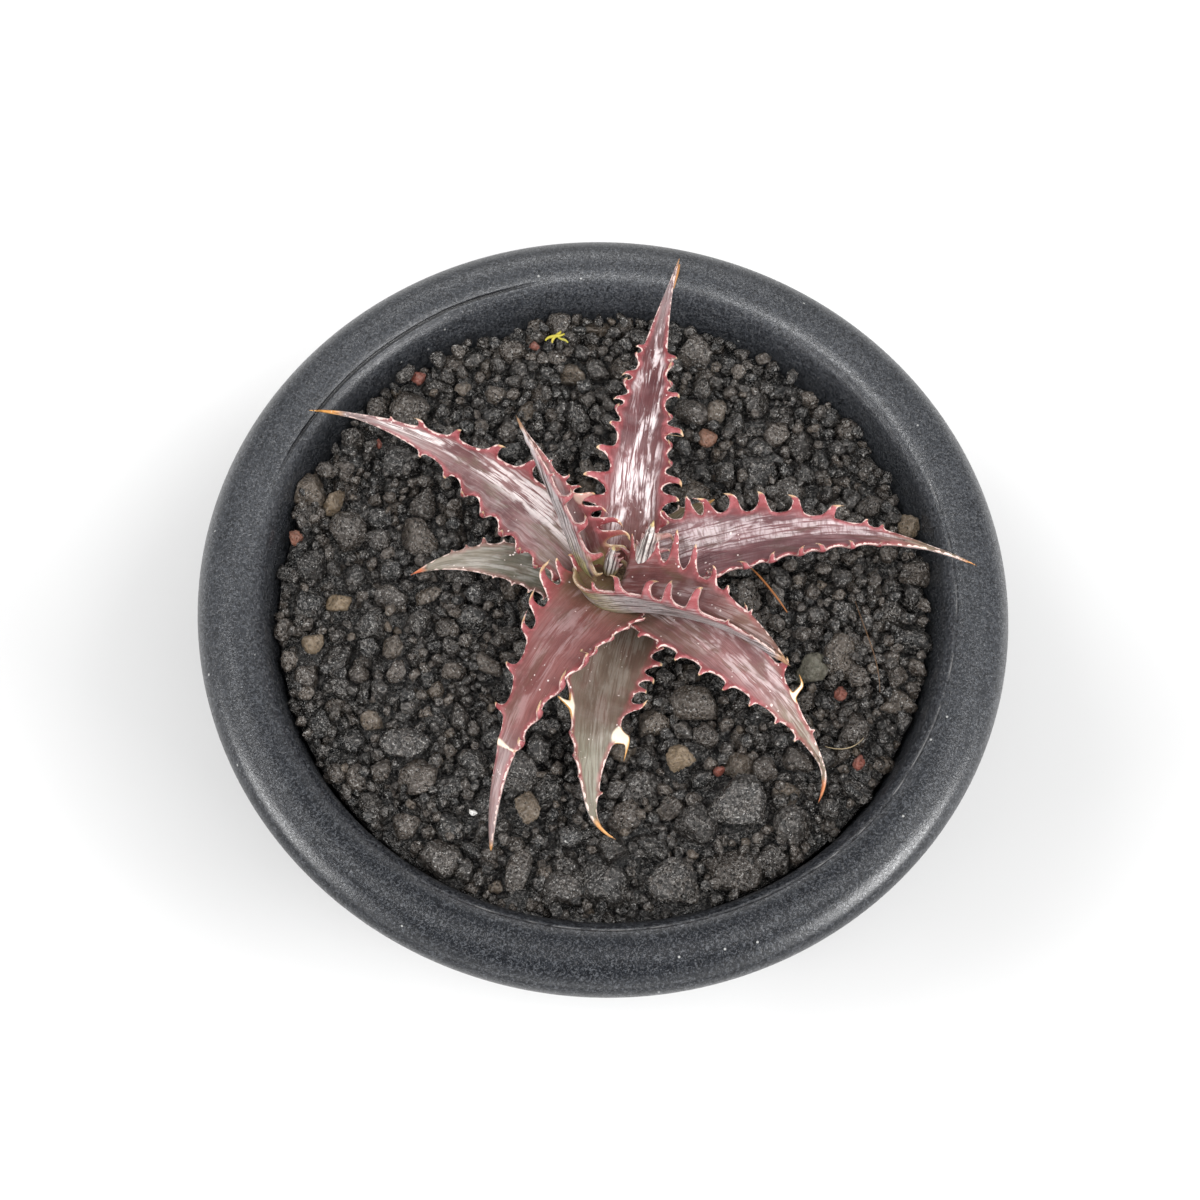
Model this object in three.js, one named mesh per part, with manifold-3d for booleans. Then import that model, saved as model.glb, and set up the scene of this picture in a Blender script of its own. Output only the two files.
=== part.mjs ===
// A dyckia rosette in a round pot of black lava gravel.
// Millimetres, +Z up. The origin is on the floor, under the middle of the pot.

import * as THREE from 'three';
import { mergeVertices } from 'three/addons/utils/BufferGeometryUtils.js';
import Module from 'manifold-3d';

const wasm = await Module();
wasm.setup();

// ---------------------------------------------------------------- driving dimensions

const GAP = 0.3; // clearance between two pieces that lie against each other
const SLIVER = 0.04; // detail smaller than this is dropped where a piece was trimmed
const ROUND_SIDES = 56; // sides of the pot and the gravel bed

const POT_HEIGHT = 90;
const RIM_RADIUS = 60; // widest circle of the rolled rim
const RIM_WIDEST_Z = 85;
const RIM_ROLL_REACH = 6; // from the crest of the rim out to the widest circle
const RIM_CREASE_RADIUS = 51.5; // shallow step just inside the crest
const MOUTH_RADIUS = 49.4; // inner wall at the level of the gravel
const FOOT_RADIUS = 36.5;
const FOOT_HEIGHT = 2;
const FLOOR_THICKNESS = 2.4;
const WALL_THICKNESS = 2;
const DRAIN_RADIUS = 6;

const GRAVEL_Z = 84.6; // top of the gravel bed
const GRAVEL_CROWN = 0.3; // how much the bed rises to its middle

const PLANT_X = 2.4; // the rosette stands a little off the pot's axis
const PLANT_Y = 0;
const STEM_RADIUS = 2.8;
const STEM_BURIED_Z = 76;
const STEM_TOP_Z = 94.5;

const BLADE_STEP = 3.8; // distance between stations along a leaf
const BLADE_THICKNESS = 1.9; // in the middle of a leaf, near its base
const MARGIN_THICKNESS = 0.55;
const HORN_RADIUS = 0.4; // the stiff tip that ends a leaf

// Leaves, from the heart outwards. Every later leaf is trimmed by those before it.
//   azimuth, rise   where the leaf points as it leaves the stem, and how steeply it climbs, in degrees
//   arch, sweep     how far it has bent down, and round to its left, at the tip
//   width, length   of the flat blade; taper sets how soon it narrows
//   fold            how far each half of the blade is raised; roll and twist turn it about its midrib
//   tooth           length of its biggest marginal teeth
//   left, right     places of the teeth along each margin, as fractions of the length
const LEAVES = [
  {
    name: 'leaf_heart_short', colour: 0x8a6a66, root: [1.0, -0.2, 95.3], azimuth: -120, rise: 100,
    length: 7.5, arch: 0, sweep: 0, width: 3.2, taper: 1.1, fold: 45, roll: 0, twist: 0,
    tooth: 0.9, left: [0.5], right: [0.55],
  },
  {
    name: 'leaf_heart_tall', colour: 0x9a8584, root: [4.2, -1.4, 94.5], azimuth: -110, rise: 112,
    length: 14.5, arch: 2, sweep: 0, width: 4.4, taper: 1.1, fold: 45, roll: 0, twist: 0,
    tooth: 1.8, left: [0.35, 0.65], right: [0.3, 0.55, 0.8],
  },
  {
    name: 'leaf_upright_left', colour: 0x7b5450, root: [-2.6, -0.1, 92.8], azimuth: 124, rise: 50,
    length: 28, arch: 15, sweep: 4, width: 9.2, taper: 1.4, fold: 50, roll: 43, twist: 7,
    tooth: 2.2, left: [0.23, 0.39, 0.53], right: [0.14, 0.25, 0.33, 0.42, 0.49, 0.57],
  },
  {
    name: 'leaf_upright_right', colour: 0x80525a, root: [0.1, -4.4, 92.1], azimuth: -8, rise: 39,
    length: 30.8, arch: 69, sweep: -22, width: 14.7, taper: 1.1, fold: 45, roll: -36, twist: -5,
    tooth: 3.0, left: [0.17, 0.25, 0.33, 0.43, 0.54, 0.68], right: [0.28, 0.37, 0.46, 0.57, 0.68],
  },
  {
    name: 'leaf_front_left', colour: 0x80575f, root: [2.4, -0.8, 92.8], azimuth: -124, rise: 36,
    length: 51.3, arch: 105, sweep: 39, width: 15.3, taper: 2.2, fold: 14, roll: 2, twist: 45,
    tooth: 2.4, left: [0.27, 0.33, 0.41, 0.5, 0.59, 0.69], right: [0.14, 0.22, 0.31, 0.42, 0.54, 0.65],
  },
  {
    name: 'leaf_back', colour: 0x74464e, root: [2.6, 2.1, 91.8], azimuth: 88, rise: 26,
    length: 51.5, arch: 47, sweep: -9, width: 9.2, taper: 1.15, fold: 24, roll: 3, twist: -13,
    tooth: 2.6,
    left: [0.2, 0.27, 0.34, 0.41, 0.48, 0.55, 0.64],
    right: [0.22, 0.28, 0.34, 0.4, 0.46, 0.52, 0.6],
  },
  {
    name: 'leaf_right', colour: 0x7d5059, root: [4.4, 1.2, 91.4], azimuth: 16, rise: 25,
    length: 52.4, arch: 54, sweep: -25, width: 13.9, taper: 1.9, fold: 28, roll: -12, twist: 1,
    tooth: 2.8,
    left: [0.17, 0.23, 0.31, 0.4, 0.49, 0.59, 0.68],
    right: [0.23, 0.33, 0.41, 0.48, 0.56, 0.65],
  },
  {
    name: 'leaf_back_left', colour: 0x744b54, root: [-0.2, 1.3, 90.4], azimuth: 145, rise: 25,
    length: 52.3, arch: 44, sweep: 29, width: 10.9, taper: 1.7, fold: 24, roll: -18, twist: -23,
    tooth: 2.3,
    left: [0.22, 0.29, 0.37, 0.46, 0.52, 0.58, 0.65],
    right: [0.25, 0.35, 0.45, 0.56, 0.66, 0.74],
  },
  {
    name: 'leaf_front_right', colour: 0x855e66, root: [4.5, -2.0, 92.9], azimuth: -38, rise: 43,
    length: 50, arch: 126, sweep: -5, width: 14.9, taper: 2.1, fold: 20, roll: -7, twist: 38,
    tooth: 2.2,
    left: [0.28, 0.38, 0.47, 0.55, 0.62],
    right: [0.18, 0.24, 0.31, 0.39, 0.47, 0.56, 0.66, 0.75],
  },
  {
    name: 'leaf_front', colour: 0x6f6a5e, root: [2.4, -2.0, 88.6], azimuth: -104, rise: 11,
    length: 38.2, arch: 31, sweep: 49, width: 14.7, taper: 1.4, fold: 24, roll: -10, twist: -19,
    tooth: 2.6, left: [0.24, 0.39, 0.55, 0.7], right: [0.3, 0.47, 0.58, 0.68],
  },
  {
    name: 'leaf_back_right_old', colour: 0x5e4a3c, root: [3.9, 2.2, 87.9], azimuth: 56, rise: 22,
    length: 20, arch: 62, sweep: -8, width: 8.5, taper: 1.3, fold: 22, roll: 0, twist: 0,
    tooth: 1.0, left: [0.35, 0.5, 0.65], right: [0.35, 0.5, 0.65],
  },
  {
    name: 'leaf_left_old', colour: 0x67685c, root: [-0.6, -0.2, 87.2], azimuth: 160, rise: 9,
    length: 29.5, arch: 22, sweep: 50, width: 8.5, taper: 0.9, fold: 16, roll: -6, twist: -15,
    tooth: 1.0, left: [0.34, 0.47, 0.57, 0.69], right: [0.45, 0.55, 0.64, 0.74],
  },
];
const ARCH_POWER = 1.35; // a leaf bends more and more towards its tip
const SWEEP_POWER = 1.7;

// Bigger stones that lie in the top of the gravel: middle, half axes and turn of the lump. The seed
// sets its bumps.
const DARK_LAVA = 0x363431;
const TAN_LAVA = 0x65543f;
const STONES = [
  { name: 'stone_large_right', at: [21.9, -29.5, 86.1], radii: [4.9, 4.4, 3.2], turn: 20, seed: 1 },
  { name: 'stone_large_front', at: [12.7, -42.2, 85.7], radii: [4.1, 3.4, 2.8], turn: -15, seed: 2 },
  { name: 'stone_slab_left', at: [-27.1, -24.8, 85.3], radii: [3.6, 2.2, 1.4], turn: 8, seed: 3 },
  { name: 'stone_pebble_grey', at: [-8.9, -42.9, 85.4], radii: [2.1, 3.4, 1.7], turn: -12, seed: 4 },
  { name: 'stone_tan_right', at: [12.7, -23.9, 85.6], radii: [2.3, 2.1, 1.8], turn: 0, seed: 5 },
  { name: 'stone_tan_front', at: [-8.3, -33.1, 85.4], radii: [2.0, 2.9, 1.6], turn: 10, seed: 6 },
];

// ---------------------------------------------------------------- solids and meshes

// A closed three.js geometry as a manifold solid.
function solidOf(geometry) {
  const bare = geometry.index ? geometry.clone() : mergeVertices(geometry);
  bare.deleteAttribute('normal');
  bare.deleteAttribute('uv');
  const merged = mergeVertices(bare, 1e-4);
  const corners = merged.index.array;
  const triangles = [];
  for (let i = 0; i < corners.length; i += 3) {
    const [a, b, c] = [corners[i], corners[i + 1], corners[i + 2]];
    if (a !== b && b !== c && c !== a) triangles.push(a, b, c);
  }
  const mesh = new wasm.Mesh({
    numProp: 3,
    vertProperties: new Float32Array(merged.attributes.position.array),
    triVerts: new Uint32Array(triangles),
  });
  return new wasm.Manifold(mesh);
}

function geometryOf(solid) {
  const mesh = solid.getMesh();
  const geometry = new THREE.BufferGeometry();
  geometry.setAttribute('position', new THREE.BufferAttribute(mesh.vertProperties, 3));
  geometry.setIndex(new THREE.BufferAttribute(mesh.triVerts, 1));
  geometry.computeVertexNormals();
  return geometry;
}

// The biggest of the pieces that a cut leaves, without the slivers along the cut.
function biggestPiece(solid) {
  const pieces = solid.simplify(SLIVER).decompose();
  return pieces.reduce((best, piece) => (piece.volume() > best.volume() ? piece : best));
}

function material(colour, roughness) {
  return new THREE.MeshStandardMaterial({ color: colour, roughness, metalness: 0 });
}

function namedMesh(name, geometry, finish) {
  const mesh = new THREE.Mesh(geometry, finish);
  mesh.name = name;
  return mesh;
}

// A body of revolution about +Z. The outline is a list of [radius, height].
function lathe(outline, sides) {
  const points = outline.map(([radius, height]) => new THREE.Vector2(radius, height));
  return new THREE.LatheGeometry(points, sides).rotateX(Math.PI / 2);
}

function ellipseArc(middle, radii, fromDegrees, toDegrees, steps) {
  const points = [];
  for (let i = 0; i <= steps; i += 1) {
    const angle = THREE.MathUtils.degToRad(fromDegrees + ((toDegrees - fromDegrees) * i) / steps);
    points.push([middle[0] + radii[0] * Math.cos(angle), middle[1] + radii[1] * Math.sin(angle)]);
  }
  return points;
}

// ---------------------------------------------------------------- pot and gravel

const FLOOR_TOP_Z = FOOT_HEIGHT + FLOOR_THICKNESS;
const WALL_TOP_Z = RIM_WIDEST_Z - 7.5; // where the wall meets the underside of the rim
const WALL_TOP_RADIUS = MOUTH_RADIUS + 0.2;

// Inner face of the wall at a height, between the floor and the gravel's top.
function innerRadius(height) {
  const low = FOOT_RADIUS - WALL_THICKNESS;
  const share = (height - FLOOR_TOP_Z) / (GRAVEL_Z - FLOOR_TOP_Z);
  return low + (MOUTH_RADIUS - low) * share ** 0.85;
}

function potGeometry() {
  const crestRadius = RIM_RADIUS - RIM_ROLL_REACH;
  const rollHeight = POT_HEIGHT - RIM_WIDEST_Z;
  const outline = [
    [DRAIN_RADIUS, FOOT_HEIGHT],
    [FOOT_RADIUS - 3.2, FOOT_HEIGHT],
    [FOOT_RADIUS - 2.6, 0],
    [FOOT_RADIUS - 0.5, 0],
    [FOOT_RADIUS, 0.6],
    [innerRadius(30) + WALL_THICKNESS, 30],
    [innerRadius(58) + WALL_THICKNESS, 58],
    [WALL_TOP_RADIUS, WALL_TOP_Z - 1],
    [WALL_TOP_RADIUS + 1.2, WALL_TOP_Z + 0.6],
    ...ellipseArc([crestRadius, RIM_WIDEST_Z], [RIM_ROLL_REACH, rollHeight + 0.6], -80, -30, 2),
    ...ellipseArc([crestRadius, RIM_WIDEST_Z], [RIM_ROLL_REACH, rollHeight], 0, 90, 4),
    [RIM_CREASE_RADIUS + 0.5, POT_HEIGHT - 0.7],
    [RIM_CREASE_RADIUS, POT_HEIGHT - 1.3],
    [MOUTH_RADIUS + 0.6, POT_HEIGHT - 3],
    [MOUTH_RADIUS, GRAVEL_Z],
    [innerRadius(58), 58],
    [innerRadius(30), 30],
    [innerRadius(FLOOR_TOP_Z + 1.2), FLOOR_TOP_Z + 1.2],
    [FOOT_RADIUS - WALL_THICKNESS - 1.4, FLOOR_TOP_Z],
    [DRAIN_RADIUS, FLOOR_TOP_Z],
    [DRAIN_RADIUS, FOOT_HEIGHT],
  ];
  return lathe(outline, ROUND_SIDES);
}

function gravelSolid(buried) {
  const bottom = FLOOR_TOP_Z + GAP;
  const outline = [
    [0, bottom],
    [FOOT_RADIUS - WALL_THICKNESS - 2, bottom],
    [innerRadius(FLOOR_TOP_Z + 1.2) - GAP * 1.3, FLOOR_TOP_Z + 1.4],
    [innerRadius(30) - GAP * 1.3, 30],
    [innerRadius(58) - GAP * 1.3, 58],
    [MOUTH_RADIUS - GAP * 1.3, GRAVEL_Z - 0.6],
    [MOUTH_RADIUS - 1.4, GRAVEL_Z],
    [0, GRAVEL_Z + GRAVEL_CROWN],
  ];
  return buried.reduce((bed, piece) => bed.subtract(piece), solidOf(lathe(outline, ROUND_SIDES)));
}

// A lump with a gently uneven surface, turned about +Z and set in its place.
function stoneGeometry(stone, grow) {
  const lump = new THREE.IcosahedronGeometry(1, 1);
  const spots = lump.attributes.position;
  for (let i = 0; i < spots.count; i += 1) {
    const [x, y, z] = [spots.getX(i), spots.getY(i), spots.getZ(i)];
    const bump = 0.07 * Math.sin(3.1 * x + 5.3 * y + stone.seed) + 0.05 * Math.cos(4.7 * z + 2.1 * stone.seed);
    const swell = 1 + bump;
    spots.setXYZ(i, x * swell, y * swell, z * swell);
  }
  lump.scale(stone.radii[0] + grow, stone.radii[1] + grow, stone.radii[2] + grow);
  lump.rotateZ(THREE.MathUtils.degToRad(stone.turn));
  lump.translate(...stone.at);
  return lump;
}

// ---------------------------------------------------------------- stem and leaves

function stemGeometry(grow) {
  const radius = STEM_RADIUS + grow;
  const outline = [
    [0, STEM_BURIED_Z - grow],
    [radius * 0.5, STEM_BURIED_Z + 1 - grow],
    [radius, GRAVEL_Z - 4],
    [radius, STEM_TOP_Z - 4],
    [radius * 0.6, STEM_TOP_Z - 0.8 + grow],
    [0, STEM_TOP_Z + grow],
  ];
  return lathe(outline, 16).translate(PLANT_X, PLANT_Y, 0);
}

// Direction of the midrib, and the blade's own left and up, at a fraction t of the length.
function bladeAxes(leaf, t) {
  const pitch = THREE.MathUtils.degToRad(leaf.rise - leaf.arch * t ** ARCH_POWER);
  const heading = THREE.MathUtils.degToRad(leaf.azimuth + leaf.sweep * t ** SWEEP_POWER);
  const along = new THREE.Vector3(
    Math.cos(pitch) * Math.cos(heading),
    Math.cos(pitch) * Math.sin(heading),
    Math.sin(pitch),
  );
  const left = new THREE.Vector3(-Math.sin(heading), Math.cos(heading), 0);
  const turn = THREE.MathUtils.degToRad(leaf.roll + leaf.twist * t);
  left.applyAxisAngle(along, turn);
  return { along, left, up: along.clone().cross(left) };
}

function midribPoint(leaf, t) {
  const place = new THREE.Vector3(...leaf.root);
  const pieces = 32;
  for (let i = 0; i < pieces; i += 1) {
    const { along } = bladeAxes(leaf, ((i + 0.5) / pieces) * t);
    place.addScaledVector(along, (leaf.length * t) / pieces);
  }
  return place;
}

function halfWidth(leaf, t) {
  const blade = (leaf.width / 2) * Math.cos((Math.PI / 2) * t) ** leaf.taper;
  const clasp = 0.75 + 0.25 * THREE.MathUtils.smoothstep(t, 0, 0.15);
  return Math.max(blade * clasp, HORN_RADIUS * Math.min(1, (1 - t) / 0.12) ** 0.7);
}

// A point on the blade: across runs from -1 on the right margin to 1 on the left, and side is 1 on top.
function bladePoint(leaf, t, across, side, grow) {
  const { left, up } = bladeAxes(leaf, t);
  const fold = THREE.MathUtils.degToRad(leaf.fold);
  const half = halfWidth(leaf, t);
  const inner = Math.abs(across) ** 1.5;
  const middle = Math.min(BLADE_THICKNESS * (1 - 0.45 * t) * Math.sqrt(leaf.width / 11), half + 0.5);
  const thickness = middle + (MARGIN_THICKNESS - middle) * inner;
  const sideways = (half * Math.cos(fold) + grow) * across;
  const lift = half * Math.sin(fold) * Math.abs(across) ** 1.6;
  const thicker = grow / Math.cos(fold); // keeps the gap where the blade is steep
  return midribPoint(leaf, t)
    .addScaledVector(left, sideways)
    .addScaledVector(up, lift + side * (thickness / 2 + thicker));
}

// The blade without its teeth: rings of points around it, closed by a fan at the base and at the tip.
function bladeGeometry(leaf, grow) {
  const ring = [
    [1, 1], [0.5, 1], [0, 1], [-0.5, 1], [-1, 1],
    [-1, -1], [-0.5, -1], [0, -1], [0.5, -1], [1, -1],
  ];
  const points = [];
  const steps = Math.max(6, Math.round(leaf.length / BLADE_STEP));
  const backwards = bladeAxes(leaf, 0).along.multiplyScalar(-grow);
  for (let i = 0; i < steps; i += 1) {
    ring.forEach(([across, side]) => {
      const point = bladePoint(leaf, i / steps, across, side, grow);
      points.push(i === 0 ? point.add(backwards) : point);
    });
  }
  const base = points.push(bladePoint(leaf, 0, 0, 0, 0).add(backwards)) - 1;
  const tip = points.push(midribPoint(leaf, 1 + grow / leaf.length)) - 1;
  const corners = [];
  const size = ring.length;
  for (let j = 0; j < size; j += 1) {
    const next = (j + 1) % size;
    corners.push(base, next, j);
    for (let i = 0; i < steps - 1; i += 1) {
      const row = i * size;
      corners.push(row + j, row + next, row + size + next);
      corners.push(row + j, row + size + next, row + size + j);
    }
    const last = (steps - 1) * size;
    corners.push(last + j, last + next, tip);
  }
  const geometry = new THREE.BufferGeometry().setFromPoints(points);
  geometry.setIndex(corners);
  return geometry;
}

// One flat, pointed tooth that stands out from a margin. Every second one leans towards the stem.
function toothGeometry(leaf, t, hand, index, grow) {
  const length = leaf.tooth * (1 - 0.55 * t);
  const { along, left, up } = bladeAxes(leaf, t);
  const fold = THREE.MathUtils.degToRad(leaf.fold * 1.3);
  const out = left.clone().multiplyScalar(hand * Math.cos(fold)).addScaledVector(up, Math.sin(fold));
  const lean = index % 2 ? -0.35 : 0.45;
  out.addScaledVector(along, lean).normalize();
  const flat = along.clone().addScaledVector(out, -along.dot(out)).normalize();
  const thick = flat.clone().cross(out);
  const point = length + 3 * grow; // keeps the gap all along the slope of the cone
  const sunk = 0.8 + grow;
  const cone = new THREE.ConeGeometry(1, point + sunk, 4, 1);
  cone.rotateY(Math.PI / 4);
  cone.translate(0, (point - sunk) / 2, 0);
  cone.scale(0.42 * length + 0.25 + grow, 1, 0.28 + grow);
  const place = bladePoint(leaf, t, hand * 0.97, 0, 0);
  const stand = new THREE.Matrix4().makeBasis(flat, out, thick).setPosition(place);
  return cone.applyMatrix4(stand);
}

function leafSolid(leaf, grow) {
  const teeth = [
    ...leaf.left.map((t, index) => toothGeometry(leaf, t, 1, index, grow)),
    ...leaf.right.map((t, index) => toothGeometry(leaf, t, -1, index, grow)),
  ];
  return teeth.reduce((blade, tooth) => blade.add(solidOf(tooth)), solidOf(bladeGeometry(leaf, grow)));
}

// ---------------------------------------------------------------- the object

const object = new THREE.Group();

object.add(namedMesh('pot', potGeometry(), material(0x2b2d30, 0.55)));

const buried = [solidOf(stemGeometry(GAP)), ...STONES.map((stone) => solidOf(stoneGeometry(stone, GAP)))];
object.add(namedMesh('gravel_bed', geometryOf(gravelSolid(buried)), material(0x2a2826, 0.9)));
STONES.forEach((stone) => {
  const lump = geometryOf(solidOf(stoneGeometry(stone, 0)));
  const colour = stone.name.startsWith('stone_tan') ? TAN_LAVA : DARK_LAVA;
  object.add(namedMesh(stone.name, lump, material(colour, 0.85)));
});

const plant = new THREE.Group();
plant.add(namedMesh('stem', stemGeometry(0), material(0x6b5a44, 0.8)));
let taken = solidOf(stemGeometry(GAP)); // the room that the stem and the inner leaves already fill
LEAVES.forEach((leaf) => {
  const trimmed = biggestPiece(leafSolid(leaf, 0).subtract(taken));
  plant.add(namedMesh(leaf.name, geometryOf(trimmed), material(leaf.colour, 0.45)));
  taken = taken.add(leafSolid(leaf, GAP));
});
object.add(plant);

export default object;
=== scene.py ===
"""A dyckia rosette in a round pot of black lava gravel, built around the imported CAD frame.

Lengths in this script are millimetres, in the frame's own axes. MM turns them into Blender's metres.
"""

from collections import namedtuple
from types import SimpleNamespace

import bmesh
import bpy
import numpy as np
from mathutils import Matrix, Vector
from mathutils.geometry import delaunay_2d_cdt


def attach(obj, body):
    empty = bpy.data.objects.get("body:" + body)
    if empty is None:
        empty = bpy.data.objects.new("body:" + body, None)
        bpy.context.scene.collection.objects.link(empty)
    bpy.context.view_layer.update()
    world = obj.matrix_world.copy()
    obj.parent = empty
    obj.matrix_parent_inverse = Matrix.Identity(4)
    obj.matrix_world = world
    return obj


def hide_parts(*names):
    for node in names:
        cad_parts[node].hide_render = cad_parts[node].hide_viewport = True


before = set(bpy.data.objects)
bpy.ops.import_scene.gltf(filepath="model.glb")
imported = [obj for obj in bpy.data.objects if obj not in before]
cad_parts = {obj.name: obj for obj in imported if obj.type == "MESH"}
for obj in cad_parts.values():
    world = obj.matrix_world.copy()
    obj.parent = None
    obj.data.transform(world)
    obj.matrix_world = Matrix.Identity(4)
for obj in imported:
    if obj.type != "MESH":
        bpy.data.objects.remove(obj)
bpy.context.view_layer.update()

MM = 0.001

# ---------------------------------------------------------------- driving dimensions, as in the CAD

POT_HEIGHT = 90.0
RIM_RADIUS = 60.0
RIM_WIDEST_Z = 85.0
RIM_ROLL_REACH = 6.0
RIM_CREASE_RADIUS = 51.5
RIM_PARTING_RADIUS = 51.7
MOUTH_RADIUS = 49.4
FOOT_RADIUS = 36.5
FOOT_HEIGHT = 2.0
FLOOR_THICKNESS = 2.4
WALL_THICKNESS = 2.0
DRAIN_RADIUS = 6.0
GRAVEL_Z = 84.6
STEM_X, STEM_Y, STEM_RADIUS, STEM_TOP_Z = 2.4, 0.0, 2.8, 94.5
STEM_LENGTH = 18.5
BLADE_THICKNESS = 1.9
MARGIN_THICKNESS = 0.55
HORN_RADIUS = 0.4
ARCH_POWER, SWEEP_POWER = 1.35, 1.7


# ---------------------------------------------------------------- meshes


def mesh_object(name, points, triangles, body="root"):
    """A smooth mesh of triangles from points in millimetres, which rides on a CAD body."""
    points = np.asarray(points, dtype=float)
    triangles = np.asarray(triangles, dtype=np.int32)
    mesh = bpy.data.meshes.new(name)
    mesh.vertices.add(len(points))
    mesh.vertices.foreach_set("co", (points * MM).astype(np.float32).ravel())
    mesh.loops.add(triangles.size)
    mesh.loops.foreach_set("vertex_index", triangles.ravel())
    mesh.polygons.add(len(triangles))
    mesh.polygons.foreach_set("loop_start", np.arange(0, triangles.size, 3, dtype=np.int32))
    mesh.update(calc_edges=True)
    mesh.validate()
    mesh.shade_smooth()
    piece = bpy.data.objects.new(name, mesh)
    bpy.context.scene.collection.objects.link(piece)
    if body:
        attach(piece, body)
    return piece


def add_attribute(piece, name, triples):
    """Three numbers for each vertex, which the shaders read as a vector."""
    made = piece.data.attributes.new(name, "FLOAT_VECTOR", "POINT")
    made.data.foreach_set("vector", np.asarray(triples, dtype=np.float32).ravel())


def between_rings(count, sides, closed):
    """Triangles between each ring of points and the next, and from the last to the first if closed."""
    rows, columns = np.meshgrid(np.arange(count if closed else count - 1), np.arange(sides), indexing="ij")
    after, turned = (rows + 1) % count, (columns + 1) % sides
    a, b = rows * sides + columns, rows * sides + turned
    c, d = after * sides + turned, after * sides + columns
    return np.concatenate([np.stack([a, b, c], -1).reshape(-1, 3), np.stack([a, c, d], -1).reshape(-1, 3)])


def lathe(profile, sides):
    """Points and triangles of a closed outline of (radius, height), turned about +Z."""
    radius, height = np.asarray(profile, dtype=float).T[:, :, None]
    angle = np.linspace(0, 2 * np.pi, sides, endpoint=False)
    around = [radius * np.cos(angle), radius * np.sin(angle), np.repeat(height, sides, axis=1)]
    return np.stack(around, axis=-1).reshape(-1, 3), between_rings(len(profile), sides, closed=True)


def icosphere(subdivisions):
    """Unit sphere of even triangles: points and triangles."""
    holder = bpy.data.meshes.new("sphere")
    shape = bmesh.new()
    bmesh.ops.create_icosphere(shape, subdivisions=subdivisions, radius=1.0)
    shape.to_mesh(holder)
    shape.free()
    points = np.array([v.co for v in holder.vertices])
    triangles = np.array([p.vertices for p in holder.polygons])
    bpy.data.meshes.remove(holder)
    return points / np.linalg.norm(points, axis=1)[:, None], triangles


def smoothstep(x, low, high):
    """0 below low and 1 above high, smooth between."""
    u = np.clip((np.asarray(x, dtype=float) - low) / (high - low), 0, 1)
    return u * u * (3 - 2 * u)


def waves(points, seed, pitch, count=6):
    """Smooth noise between about -1 and 1: a sum of sines in random directions."""
    draw = np.random.default_rng(seed)
    total = np.zeros(len(points))
    for _ in range(count):
        direction = draw.normal(size=points.shape[1])
        direction *= 2 * np.pi / (pitch * draw.uniform(0.7, 1.5)) / np.linalg.norm(direction)
        total += np.sin(points @ direction + draw.uniform(0, 2 * np.pi))
    return total / np.sqrt(count * 1.2)


# ---------------------------------------------------------------- shader nodes


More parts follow.
